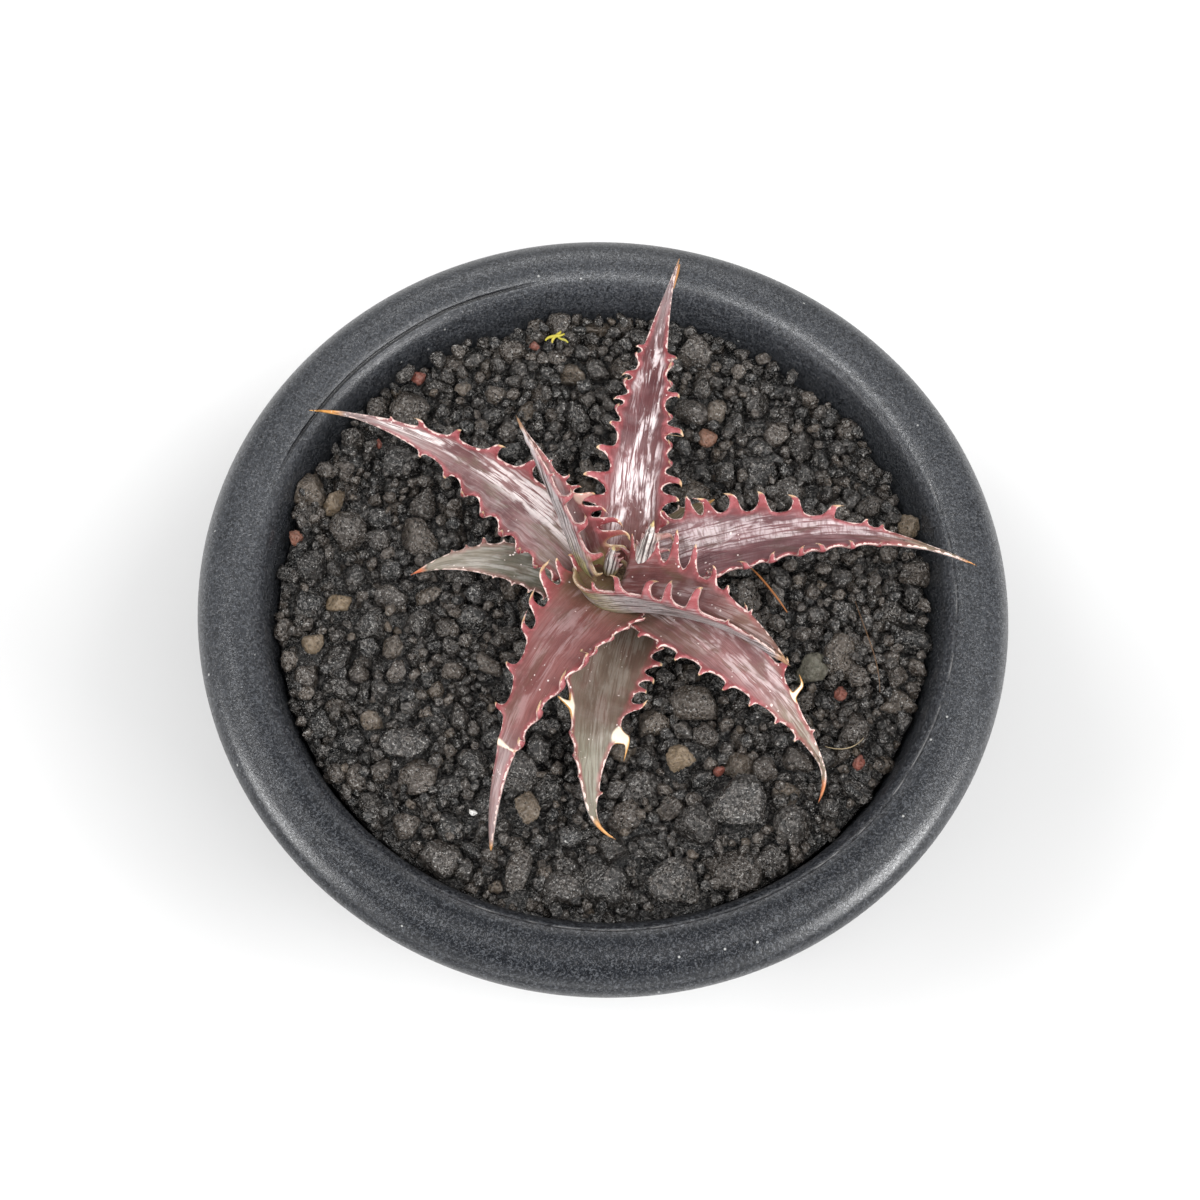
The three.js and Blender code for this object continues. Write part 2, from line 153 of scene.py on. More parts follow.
class Shader:
    """Short calls for one material's nodes. Every number that a call takes may also be a socket."""

    def __init__(self, name):
        self.material = bpy.data.materials.new(name)
        self.material.use_nodes = True
        self.tree = self.material.node_tree
        self.tree.nodes.clear()
        self.surface = self.tree.nodes.new("ShaderNodeBsdfPrincipled")
        output = self.tree.nodes.new("ShaderNodeOutputMaterial")
        self.tree.links.new(self.surface.outputs[0], output.inputs["Surface"])

    def feed(self, socket, value):
        if isinstance(value, bpy.types.NodeSocket):
            self.tree.links.new(value, socket)
        elif isinstance(value, tuple) and len(value) == 3 and socket.type == "RGBA":
            socket.default_value = (*value, 1.0)
        else:
            socket.default_value = value

    def node(self, kind, inputs=None, **settings):
        made = self.tree.nodes.new(kind)
        for key, value in settings.items():
            setattr(made, key, value)
        for key, value in (inputs or {}).items():
            self.feed(made.inputs[key], value)
        return made

    def set(self, name, value):
        self.feed(self.surface.inputs[name], value)

    def attribute(self, name):
        """The three numbers of a mesh attribute."""
        return self.split(self.node("ShaderNodeAttribute", attribute_name=name).outputs["Vector"])

    def split(self, vector):
        return self.node("ShaderNodeSeparateXYZ", {0: vector}).outputs

    def join(self, x, y, z):
        return self.node("ShaderNodeCombineXYZ", {0: x, 1: y, 2: z}).outputs[0]

    def place(self):
        """The place on the piece, in millimetres."""
        return self.scale(self.node("ShaderNodeTexCoord").outputs["Object"], (1 / MM, 1 / MM, 1 / MM))

    def math(self, operation, a, b=0.0):
        return self.node("ShaderNodeMath", {0: a, 1: b}, operation=operation).outputs[0]

    def chain(self, operation, values):
        total = values[0]
        for value in values[1:]:
            total = self.math(operation, total, value)
        return total

    def times(self, *values):
        return self.chain("MULTIPLY", values)

    def plus(self, *values):
        return self.chain("ADD", values)

    def minus(self, a, b):
        return self.math("SUBTRACT", a, b)

    def most(self, a, b):
        return self.math("MAXIMUM", a, b)

    def size(self, value):
        return self.math("ABSOLUTE", value)

    def step(self, value, low, high):
        """0 below low and 1 above high, smooth between. low may be above high."""
        inputs = {"Value": value, "From Min": low, "From Max": high}
        return self.node("ShaderNodeMapRange", inputs, interpolation_type="SMOOTHSTEP").outputs[0]

    def scale(self, vector, factors):
        return self.node("ShaderNodeVectorMath", {0: vector, 1: factors}, operation="MULTIPLY").outputs[0]

    def shift(self, vector, offset):
        return self.node("ShaderNodeVectorMath", {0: vector, 1: offset}, operation="ADD").outputs[0]

    def noise(self, vector, size, detail=3.0, rough=0.55, warp=0.0):
        """Noise whose lumps are about size across, in the units of the vector."""
        inputs = {"Vector": vector, "Scale": 1 / size, "Detail": detail}
        inputs.update({"Roughness": rough, "Distortion": warp})
        return self.node("ShaderNodeTexNoise", inputs).outputs[0]

    def cells(self, vector, size):
        """How far it is to the nearest of the points strewn about size apart, as a share of size."""
        return self.node("ShaderNodeTexVoronoi", {"Vector": vector, "Scale": 1 / size}).outputs["Distance"]

    def mix(self, share, a, b):
        """Colour a, with that share of colour b."""
        return self.node("ShaderNodeMix", {0: share, 6: a, 7: b}, data_type="RGBA").outputs[2]

    def blend(self, share, a, b):
        """Number a, with that share of number b."""
        return self.node("ShaderNodeMix", {0: share, 2: a, 3: b}, data_type="FLOAT").outputs[0]

    def bump(self, height, depth, normal=None):
        """depth is in millimetres, for a height between 0 and 1."""
        inputs = {"Strength": 1.0, "Distance": depth * MM, "Height": height}
        if normal is not None:
            inputs["Normal"] = normal
        return self.node("ShaderNodeBump", inputs).outputs[0]


# ---------------------------------------------------------------- pot

FLOOR_TOP_Z = FOOT_HEIGHT + FLOOR_THICKNESS
WALL_TOP_Z = RIM_WIDEST_Z - 7.5
WALL_TOP_RADIUS = MOUTH_RADIUS + 0.2
POT_SIDES = 288
# The rim's inner roll, down to the wall: how far outside the crease, and how far under the top.
INNER_ROLL = [
    (0.45, 0.32), (-0.05, 0.56), (-0.45, 0.85), (-0.80, 1.20), (-1.10, 1.62),
    (-1.35, 2.15), (-1.58, 2.90), (-1.78, 4.05), (-2.02, 5.20),
]

POT_BLUE_BLACK = (0.0205, 0.0232, 0.0282)
POT_DUSTY = (0.0305, 0.0332, 0.0390)
POT_FRONT_SHADE = (0.0086, 0.0100, 0.0132)
POT_PIT_SHADE = (0.003, 0.0035, 0.005)
POT_CREST_HIGHLIGHT = (0.070, 0.074, 0.082)
POT_GLINT = (0.125, 0.127, 0.132)
POT_SCUFF = (0.10, 0.10, 0.105)
GROOVE_HIGHLIGHT = (0.27, 0.265, 0.26)
GROOVE_SHADE = (0.002, 0.002, 0.003)
DUST_SPECK = (0.40, 0.40, 0.39)


def inner_radius(height):
    """Inner face of the pot's wall, between the floor and the top of the gravel."""
    low = FOOT_RADIUS - WALL_THICKNESS
    share = (np.asarray(height, dtype=float) - FLOOR_TOP_Z) / (GRAVEL_Z - FLOOR_TOP_Z)
    return low + (MOUTH_RADIUS - low) * np.clip(share, 0, 1) ** 0.85


def arc(middle, radii, start, end, steps):
    """Points of an ellipse's arc, from start to end in degrees."""
    angle = np.radians(np.linspace(start, end, steps + 1))
    return [(middle[0] + radii[0] * np.cos(a), middle[1] + radii[1] * np.sin(a)) for a in angle]


def pot_profile():
    """The pot's outline of (radius, height): drain, foot, outer wall, rim, inner wall and floor."""
    crest = RIM_RADIUS - RIM_ROLL_REACH
    roll = POT_HEIGHT - RIM_WIDEST_Z
    outside = [(inner_radius(z) + WALL_THICKNESS, z) for z in np.linspace(4, WALL_TOP_Z - 3, 12)]
    inside = [(inner_radius(z), z) for z in np.linspace(GRAVEL_Z - 3, FLOOR_TOP_Z + 1.6, 10)]
    return [
        # the drain, the foot ring and the outer wall
        (DRAIN_RADIUS, FOOT_HEIGHT + 0.3),
        (DRAIN_RADIUS + 0.3, FOOT_HEIGHT),
        (FOOT_RADIUS - 3.2, FOOT_HEIGHT),
        *arc((FOOT_RADIUS - 2.4, 0.3), (0.3, 0.3), 180, 270, 3),
        *arc((FOOT_RADIUS - 0.7, 0.7), (0.7, 0.7), 270, 360, 4),
        *outside,
        # the rim, from its underside over its roll to the wall inside
        *arc((WALL_TOP_RADIUS + 1.6, WALL_TOP_Z - 1.6), (1.2, 1.6), 180, 100, 4),
        *arc((crest, RIM_WIDEST_Z), (RIM_ROLL_REACH, roll + 0.6), -84, 0, 14),
        *arc((crest, RIM_WIDEST_Z), (RIM_ROLL_REACH, roll), 4, 104, 25),
        *((RIM_CREASE_RADIUS + out, POT_HEIGHT - down) for out, down in INNER_ROLL),
        # the inner wall and the floor
        (MOUTH_RADIUS, GRAVEL_Z - 0.6),
        *inside,
        *arc((FOOT_RADIUS - WALL_THICKNESS - 1.6, FLOOR_TOP_Z + 1.4), (1.4, 1.4), 0, -90, 4),
        (DRAIN_RADIUS + 0.3, FLOOR_TOP_Z),
        (DRAIN_RADIUS, FLOOR_TOP_Z - 0.3),
    ]


def pot_material():
    """Charcoal plastic with a fine leathery grain, with painted highlights on the grain's crests, painted
    shade in its pits, painted pale glints here and there and painted shade over the front of the rim.
    """
    s = Shader("pot_plastic")
    place = s.place()
    x, y, _ = s.split(place)
    grain = s.noise(place, 0.42, detail=2.0, rough=0.8, warp=1.2)
    fine = s.noise(place, 0.30, detail=1.0, rough=0.6, warp=0.8)
    cloud = s.noise(place, 14.0, detail=3.0)
    patches = s.noise(place, 4.0, detail=3.0)
    streaks = s.noise(s.scale(place, (1.0, 1.0, 0.4)), 2.4, detail=6.0)
    front_shade = s.step(y, 10.0, -45.0)  # painted shade: the front of the rim is darker than the back
    glint_specks = s.step(fine, s.blend(patches, 0.62, 0.52), s.blend(patches, 0.70, 0.60))
    base = s.mix(s.step(cloud, 0.3, 0.7), POT_BLUE_BLACK, POT_DUSTY)
    # painted shade over the front of the rim
    base = s.mix(front_shade, base, POT_FRONT_SHADE)
    # painted shade in the grain's pits and painted highlights on its crests, weaker at the front
    base = s.mix(s.times(s.step(grain, 0.48, 0.43), 0.9), base, POT_PIT_SHADE)
    base = s.mix(s.times(s.step(grain, 0.54, 0.60), s.blend(front_shade, 0.85, 0.75)), base, POT_CREST_HIGHLIGHT)
    # painted pale glints here and there, fewer at the front
    base = s.mix(s.times(glint_specks, s.blend(front_shade, 0.5, 0.3)), base, POT_GLINT)
    base = s.mix(s.times(s.step(streaks, 0.72, 0.80), 0.5), base, POT_SCUFF)
    # the groove at the foot of the roll, with painted shade in it at the back left and a broken painted
    # highlight along it at the front right
    away = s.math("SQRT", s.plus(s.times(x, x), s.times(y, y)))
    wander = s.times(s.minus(s.noise(place, 22.0, detail=1.0), 0.5), 0.5)
    off = s.size(s.minus(s.plus(away, wander), RIM_PARTING_RADIUS))
    front_right = s.step(s.minus(x, y), 5.0, 45.0)
    back_left = s.step(s.minus(y, x), 62.0, 69.0)
    dust_and_highlight = s.times(s.step(s.noise(place, 5.0, detail=4.0), 0.46, 0.62), front_right)
    # a broken painted highlight along the groove at the front right
    base = s.mix(s.times(s.step(off, 0.14, 0.05), dust_and_highlight, 0.5), base, GROOVE_HIGHLIGHT)
    # painted shade in the groove at the back left
    base = s.mix(s.times(s.step(off, 0.34, 0.10), back_left, 0.95), base, GROOVE_SHADE)
    base = s.mix(s.times(s.step(s.cells(place, 5.0), 0.045, 0.028), 0.7), base, DUST_SPECK)
    s.set("Base Color", base)
    s.set("Roughness", s.blend(s.step(grain, 0.35, 0.65), 0.38, 0.24))
    # the front of the rim shines only where it is seen a little aslant, and no part shines at its outline
    facing = s.node("ShaderNodeLayerWeight", {0: 0.5}).outputs["Facing"]
    gloss = s.blend(s.step(facing, 0.6, 0.97), 0.80, 0.15)
    dull = s.times(front_shade, s.most(s.step(facing, 0.15, 0.04), s.step(facing, 0.24, 0.36)), 0.72)
    s.set("Specular IOR Level", s.times(gloss, s.minus(1.0, dull)))
    rough = s.bump(grain, 0.05)
    rough = s.bump(fine, 0.02, rough)
    dent = s.times(s.step(off, 0.35, 0.0), s.most(back_left, s.times(front_right, 0.25)))
    s.set("Normal", s.bump(dent, -0.25, rough))
    return s.material


def build_pot():
    """The pot with its wide rolled rim, turned about +Z."""
    points, triangles = lathe(pot_profile(), POT_SIDES)
    pot = mesh_object("pot_shell", points, triangles)
    pot.data.materials.append(pot_material())
    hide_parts("pot")


build_pot()

# ---------------------------------------------------------------- leaves

# A tooth: where it stands as a fraction of the leaf's length, its height, how far its point leans (as a share
# of the height: + towards the leaf's tip, - towards the stem), how far it curls up over the blade in degrees,
# how much longer its foot is on the tip's side, how far it has dried to cream, and how wide its foot is.
Tooth = namedtuple("Tooth", "at height lean curl slant cream foot", defaults=(0, 0, 0, 0, 1))
# A leaf: where its midrib starts, its first direction (azimuth and rise, in degrees), how far it arches down
# and sweeps sideways on its way, its greatest width, how fast it narrows, how far its halves fold up, and how
# it is rolled at its base and twists towards its tip. left and right are the teeth of its margins. It may
# also have a tail (half the width of a drawn-out end), a hook (a sideways turn at its tip, in degrees), a
# wrap (a turn at its base, where it clasps the stem), slim teeth (a share of the usual width), a scar (a dry
# ridge across the blade: where, and how wide in millimetres) and a sheen (the part of the blade with most
# pale wax and painted highlight, from margin -1 to margin 1).
Leaf = namedtuple(
    "Leaf",
    "name root azimuth rise length arch sweep width taper fold roll twist look left right"
    " tail hook wrap slim scar sheen",
    defaults=(0, 0, 0, 0.82, None, (-0.8, 0.8)),
)


def grow(left, right, **numbers):
    """A leaf, with the rows of its margins made into teeth."""
    return Leaf(left=[Tooth(*row) for row in left], right=[Tooth(*row) for row in right], **numbers)


LEAVES = [
    grow(
        name="leaf_heart_short", root=(0.0, -0.2, 95.3), azimuth=-120, rise=100, length=8.0, arch=0, sweep=0,
        slim=0.6, width=3.6, taper=1.1, fold=45, roll=0, twist=0, look="silver",
        left=[(0.3, 0.6, 0.2, 20), (0.5, 0.9, 0.2, 20), (0.7, 0.6, 0.3, 10)],
        right=[(0.35, 0.8, 0.2, 20), (0.55, 0.9, 0.3, 10), (0.75, 0.5, 0.3, 10)],
    ),
    grow(
        name="leaf_heart_tall", root=(4.2, -1.4, 94.5), azimuth=-110, rise=112, length=14.5, arch=2, sweep=0,
        slim=0.6, width=5.8, taper=1.1, fold=45, roll=0, twist=0, look="silver",
        left=[(0.18, 1.5, 0, -20), (0.34, 2.0, 0, -30), (0.50, 2.2, -0.3, -20),
              (0.72, 3.0, -0.9, 0, 0, 0.15)],
        right=[(0.10, 2.8, 0, -60), (0.25, 3.0, 0, -60), (0.48, 0.9, 0.2, -20), (0.64, 0.7, 0.3, 0),
               (0.78, 0.6, 0.4, 0)],
    ),
    grow(
        name="leaf_upright_left", root=(-2.6, -0.1, 92.8), azimuth=125.5, rise=50, length=28, arch=15,
        sweep=4, slim=0.66, width=9.2, taper=1.4, fold=50, roll=43, twist=7, look="red",
        left=[(0.1, 1.2, -0.2, 110), (0.22, 2.5, -0.5, 135), (0.38, 2.4, 0.5, 135), (0.53, 2.0, 0.5, 120),
              (0.66, 0.8, 0.3, 60)],
        right=[(0.11, 2.8, -0.3, 30), (0.20, 3.7, -0.5, 25), (0.285, 3.4, -0.6, 20), (0.37, 2.4, -0.8, 20),
               (0.45, 2.4, -0.2, 10, 0, 0.3), (0.515, 1.3, -0.4, 10), (0.58, 1.0, 0.4, 5),
               (0.7, 0.4, 0.3, 0)],
    ),
    grow(
        name="leaf_upright_right", root=(-1.4, -3.0, 92.6), azimuth=-10, rise=49, length=35.0, arch=76,
        sweep=-22, wrap=-42, slim=0.58, width=16.4, taper=1.1, fold=45, roll=-36, twist=12, look="red",
        left=[(0.12, 2.2, 0, 10), (0.21, 3.0, 0, 5), (0.325, 3.4, 0, 0), (0.405, 5.0, 0, 0),
              (0.485, 4.0, 0, 5), (0.575, 2.4, -0.2, 20), (0.635, 1.1, 0.2, 20), (0.75, 0.7, 0.2, 0)],
        right=[(0.24, 1.4, -0.5, 110), (0.34, 2.6, -0.6, 105), (0.435, 3.0, 0.4, 110), (0.51, 3.7, 0.0, 105),
               (0.59, 4.2, 0.1, 105), (0.70, 0.9, 0.3, 40), (0.80, 0.5, 0.3, 0)],
    ),
    grow(
        name="leaf_front_left", root=(2.8, -0.8, 92.8), azimuth=-124.5, rise=36, length=51.3, arch=105,
        sweep=39, tail=3.2, scar=(0.66, 0.75), sheen=(-0.6, 0.3), width=14.0, taper=2.2, fold=14, roll=2,
        twist=45, look="rose",
        left=[(0.14, 1.0, -0.2, 60), (0.2, 0.8, -0.2, 80), (0.27, 1.1, -0.6, 90), (0.335, 1.3, -0.6, 100),
              (0.39, 2.8, -1.0, 100), (0.475, 3.0, -0.9, 100), (0.56, 2.6, -0.9, 100),
              (0.64, 2.2, -0.4, 100)],
        right=[(0.08, 2.6, 0.4, 40), (0.135, 3.0, -0.1, 35), (0.205, 3.7, -0.7, 25), (0.285, 2.6, -1.0, 20),
               (0.355, 1.9, -1.5, 20), (0.46, 1.8, -0.1, 80), (0.57, 1.6, -0.3, 80)],
    ),
    grow(
        name="leaf_back", root=(2.6, 2.1, 91.8), azimuth=88.4, rise=26, length=51.9, arch=47, sweep=-9,
        sheen=(-0.7, 0.7), width=9.8, taper=1.45, fold=24, roll=3, twist=-13, look="dusky",
        left=[(0.13, 2.2, 0.1, 60), (0.19, 4.3, -0.15, -5, 0.1), (0.255, 4.2, -0.1, -5, 0.4),
              (0.33, 3.1, -0.1, 5, 0.45), (0.402, 2.0, -0.1, 20, 0.3), (0.447, 2.1, 0.2, 105),
              (0.482, 1.7, -0.4, -30), (0.525, 1.9, 0.2, 100), (0.56, 1.5, -0.6, -30), (0.615, 1.2, 0.1, 90),
              (0.645, 1.1, -0.3, -20)],
        right=[(0.15, 2.2, 0, 50), (0.215, 3.1, -0.1, 0, 0.2), (0.27, 3.2, -0.35, -15), (0.31, 2.4, 0.1, 100),
               (0.36, 2.2, 0.3, 100), (0.41, 3.0, -0.45, -20), (0.44, 2.0, 0.2, 110), (0.51, 2.3, -0.3, -20),
               (0.535, 1.8, 0.2, 100), (0.60, 1.9, -0.9, 95), (0.625, 1.6, -0.9, 0)],
    ),
    grow(
        name="leaf_right", root=(4.4, 1.2, 91.4), azimuth=16, rise=25, length=52.4, arch=54, sweep=-25,
        sheen=(0.05, 0.85), width=13.9, taper=1.9, fold=28, roll=-12, twist=1, look="mauve",
        left=[(0.13, 2.0, 0, 40), (0.20, 3.1, 0.05, 10), (0.25, 2.6, -0.75, 20, 0.2),
              (0.32, 2.8, -0.5, 10, 0.35), (0.39, 2.9, -0.2, 5, 0.3), (0.478, 2.6, -0.5, 10, 0.35),
              (0.562, 2.0, 0.9, 10, -0.5), (0.655, 0.9, 0.3, 60), (0.70, 0.7, 0.3, 80)],
        right=[(0.15, 1.4, 0.3, 60), (0.24, 1.7, -0.4, 100), (0.325, 1.9, -0.6, 110), (0.392, 2.0, 0.3, 120),
               (0.468, 1.8, 0.4, 120), (0.53, 1.8, -0.6, 110), (0.61, 1.6, -0.4, 120), (0.69, 1.0, 0.2, 90)],
    ),
    grow(
        name="leaf_back_left", root=(-0.2, 1.3, 90.4), azimuth=145, rise=25, length=52.3, arch=44, sweep=29,
        sheen=(-0.8, 0.1), width=10.9, taper=1.7, fold=24, roll=-18, twist=-23, look="combed",
        left=[(0.11, 1.8, 0, 60), (0.175, 2.2, 0, 110), (0.24, 2.5, 0.1, 125), (0.31, 2.6, 0.1, 125),
              (0.385, 2.5, 0.1, 125), (0.465, 2.1, 0.2, 115), (0.54, 1.6, -0.4, 70), (0.635, 1.1, -0.6, 60)],
        right=[(0.17, 2.2, -0.2, 10), (0.262, 2.8, -0.25, 5, -0.1), (0.362, 3.3, -0.3, 0, -0.1),
               (0.46, 2.6, -0.5, 5, -0.25), (0.566, 2.1, -0.25, 5, -0.2), (0.662, 1.5, 0.9, 5, -0.3),
               (0.75, 0.6, 0.3, 5)],
    ),
    grow(
        name="leaf_front_right", root=(4.5, -1.7, 92.4), azimuth=-36, rise=34, length=47.6, arch=100,
        sweep=-14, hook=-62, sheen=(-0.5, 0.8), width=14.9, taper=2.1, fold=20, roll=-12, twist=38,
        look="arched",
        left=[(0.19, 1.2, 0, 30), (0.28, 1.4, -0.2, 20), (0.36, 1.5, -0.6, 10), (0.45, 1.3, -0.1, 10),
              (0.54, 2.0, -0.3, 10), (0.62, 2.15, -0.8, -5, 0, 1, 0.42), (0.735, 0.6, 0, 10)],
        right=[(0.12, 1.0, 0.1, 0), (0.18, 1.2, 0.3, -20), (0.245, 1.3, 0.3, -25), (0.31, 1.5, 0.1, -25),
               (0.39, 1.6, 0.1, -25), (0.47, 1.6, -0.1, -20), (0.555, 1.3, 0.1, -10), (0.645, 1.0, 0.1, 10),
               (0.725, 0.8, 0.3, 0)],
    ),
    grow(
        name="leaf_front", root=(2.4, -2.0, 88.6), azimuth=-102, rise=11, length=38.2, arch=31, sweep=31,
        hook=50, sheen=(-0.5, 0.9), width=14.7, taper=1.5, fold=24, roll=-10, twist=-19, look="olive",
        left=[(0.17, 1.6, 0.1, 30), (0.24, 2.4, 0.2, 20), (0.30, 2.0, 0.5, -10), (0.355, 1.6, 0.4, -10),
              (0.44, 2.4, -0.7, 10), (0.555, 2.5, 1.75, 5, 0, 1, 1.3), (0.79, 0.7, 0.1, 60)],
        right=[(0.2, 1.2, 0, 60), (0.30, 1.2, 0.1, 90), (0.40, 1.3, 0.1, 90),
               (0.485, 3.7, 0.02, 12, 0, 1, 0.42), (0.585, 1.3, 0, 90), (0.66, 1.0, 0, 90),
               (0.73, 0.6, 0, 30)],
    ),
    grow(
        name="leaf_back_right_old", root=(3.9, 2.2, 87.9), azimuth=56, rise=22, length=20, arch=62, sweep=-8,
        width=8.5, taper=1.3, fold=22, roll=0, twist=0, look="brown",
        left=[(0.35, 0.8, 0.2, 0), (0.5, 0.8, 0.2, 0), (0.65, 0.6, 0.2, 0)],
        right=[(0.35, 0.8, 0.2, 0), (0.5, 0.8, 0.2, 0), (0.65, 0.6, 0.2, 0)],
    ),
    grow(
        name="leaf_left_old", root=(-0.6, -0.2, 87.2), azimuth=160, rise=9, length=29.5, arch=22, sweep=50,
        width=8.6, taper=1.1, fold=16, roll=-6, twist=-15, look="grey",
        left=[(0.26, 0.7, 0.3, 0), (0.35, 0.7, 0.3, 10), (0.45, 0.6, 0.3, 0), (0.56, 0.4, 0.3, 20)],
        right=[(0.3, 0.6, 0.2, 0), (0.44, 0.5, -0.2, 20), (0.53, 0.5, 0.2, 0), (0.62, 1.1, 0.1, 10),
               (0.70, 0.5, 0.3, 0), (0.77, 0.4, 0.3, 0)],
    ),
]


def blade_axes(leaf, t):
    """Direction of the midrib, and the blade's own left and up, at fractions t of the length."""
    pitch = np.radians(leaf.rise - leaf.arch * t**ARCH_POWER)
    ends = leaf.wrap * (1 - smoothstep(t, 0, 0.22)) + leaf.hook * smoothstep(t, 0.8, 1.0)
    heading = np.radians(leaf.azimuth + leaf.sweep * t**SWEEP_POWER + ends)
    along = np.stack([np.cos(pitch) * np.cos(heading), np.cos(pitch) * np.sin(heading), np.sin(pitch)], -1)
    level = np.stack([-np.sin(heading), np.cos(heading), 0 * heading], -1)
    turn = np.radians(leaf.roll + leaf.twist * t)[:, None]
    left = level * np.cos(turn) + np.cross(along, level) * np.sin(turn)
    return along, left, np.cross(along, left)


def midrib(leaf, t):
    """Points of the midrib at fractions t of the length."""
    steps = 600
    middles = (np.arange(steps) + 0.5) / steps
    along, _, _ = blade_axes(leaf, middles)
    walk = np.vstack([np.zeros(3), np.cumsum(along, axis=0)]) * (leaf.length / steps)
    ends = np.linspace(0, 1, steps + 1)
    return np.array(leaf.root) + np.stack([np.interp(t, ends, walk[:, k]) for k in range(3)], -1)


def half_width(leaf, t):
    """Half the width of the plain blade, without teeth, at fractions t of the length."""
    t = np.clip(t, 0, 1)
    blade = leaf.width / 2 * np.cos(np.pi / 2 * t) ** leaf.taper
    clasp = 0.75 + 0.25 * smoothstep(t, 0, 0.15)
    tail = leaf.tail * (1 - t) ** 0.7
    horn = HORN_RADIUS * np.minimum(1, (1 - t) / 0.12) ** 0.7
    return np.maximum(((blade * clasp) ** 6 + tail**6) ** (1 / 6), horn)


def bezier(a, b, c, d, steps):
    """Points of a cubic curve from a to d."""
    u = np.linspace(0, 1, steps + 1)[:, None]
    a, b, c, d = (np.array(p, dtype=float) for p in (a, b, c, d))
    return (1 - u) ** 3 * a + 3 * u * (1 - u) ** 2 * b + 3 * u**2 * (1 - u) * c + u**3 * d


def claw(middle, feet, height, lean):
    """Outline of one tooth, a stout body with a hooked horn, from foot to foot, as (along, out)."""
    heel, toe = feet  # behind and under the hook
    body = (heel + toe) / 2
    reach = abs(lean) * height
    point = (reach, height)
    hump = (0.15 * reach - 0.30 * body, 0.74 * height)
    notch = (0.25 * reach + 0.24 * body, 0.66 * height)
    lower, upper = 0.03 * height, 0.36 * height
    back = bezier((-heel, 0), (-0.62 * heel, lower), (0.1 * reach - 0.1 * body - 0.36 * heel, upper), hump, 7)
    crown = bezier(hump, (0.2 * reach - 0.2 * body, 0.97 * height), (0.45 * reach, 1.04 * height), point, 7)
    under = bezier(point, (0.65 * reach, 0.93 * height), (0.3 * reach + 0.26 * body, 0.84 * height), notch, 6)
    front = bezier(notch, (0.2 * reach + 0.1 * body + 0.18 * toe, upper), (0.62 * toe, lower), (toe, 0), 7)
    outline = np.vstack([back, crown[1:], under[1:], front[1:]])
    if lean < 0:
        outline = outline[::-1] * (-1, 1)
    return outline + (middle, 0)


def margin_outline(leaf, teeth):
    """One margin with its teeth, from the base to the tip, as (along, out from the plain margin)."""
    length = leaf.length
    middles = np.array([tooth.at * length for tooth in teeth])
    feet = []  # towards the stem and towards the tip
    for tooth in teeth:
        foot = 0.30 + 0.60 * min(tooth.height, 2.8) + 0.2 * max(tooth.height - 2.8, 0)
        foot *= tooth.foot * leaf.slim
        slant = tooth.slant * (1 if tooth.lean >= 0 else -1)
        feet.append([foot * (1 - slant), foot * (1 + slant)])
    for i in range(len(teeth) - 1):  # neighbours share the room between them
        room = (middles[i + 1] - middles[i]) * 0.98
        need = feet[i][1] + feet[i + 1][0]
        if need > room:
            feet[i][1], feet[i + 1][0] = feet[i][1] * room / need, feet[i + 1][0] * room / need
    pieces, at = [], 0.0
    for tooth, middle, (near, far) in zip(teeth, middles, feet):
        gap = middle - near - at
        if gap > 0.05:
            u = np.linspace(0, 1, max(2, int(gap / 0.3)))[:-1]
            dip = -min(0.16, 0.08 * gap) * np.sin(np.pi * u)
            pieces.append(np.stack([at + u * gap, dip], -1))
        ends = (near, far) if tooth.lean >= 0 else (far, near)
        pieces.append(claw(middle, ends, tooth.height, tooth.lean)[:-1])
        at = middle + far
    rest = at + (length - at) * np.linspace(0, 1, max(4, int((length - at) / 0.35)))
    pieces.append(np.stack([rest, 0 * rest], -1)[:-1])
    return np.vstack(pieces)


def distance_to(points, loop):
    """Distance from each point to a closed polyline, and whether the point is inside it."""
    a, b = loop, np.roll(loop, -1, axis=0)
    run = b - a
    reach, inside = np.empty(len(points)), np.empty(len(points), dtype=bool)
    for first in range(0, len(points), 2000):
        p = points[first:first + 2000, None, :]
        u = np.clip(((p - a) * run).sum(-1) / np.maximum((run**2).sum(-1), 1e-12), 0, 1)
        gaps = p - (a + u[..., None] * run)
        reach[first:first + 2000] = np.sqrt((gaps**2).sum(-1).min(axis=1))
        above = (a[:, 1] > p[..., 1]) != (b[:, 1] > p[..., 1])
        rise = np.where(np.abs(run[:, 1]) < 1e-12, 1e-12, run[:, 1])
        crossing = a[:, 0] + (p[..., 1] - a[:, 1]) * run[:, 0] / rise
        inside[first:first + 2000] = (above & (p[..., 0] < crossing)).sum(axis=1) % 2 == 1
    return reach, inside


def thinned(points, spacing):
    """The points, without those that lie nearer than spacing to an earlier one."""
    kept, cells = [], {}
    for index, (x, y) in enumerate(points):
        key = (int(np.floor(x / spacing)), int(np.floor(y / spacing)))
        near = (cells.get((key[0] + i, key[1] + j)) for i in (-1, 0, 1) for j in (-1, 0, 1))
        if all(n is None or np.hypot(*(points[n] - (x, y))) > spacing for n in near):
            kept.append(index)
            cells[key] = index
    return points[kept]


NET_RINGS = (0.1, 0.24, 0.45)  # depths inside the outline at which the net follows it
NET_PITCH = 0.42  # between the net's points further in
NET_EDGE = 0.62  # depth from which those points begin


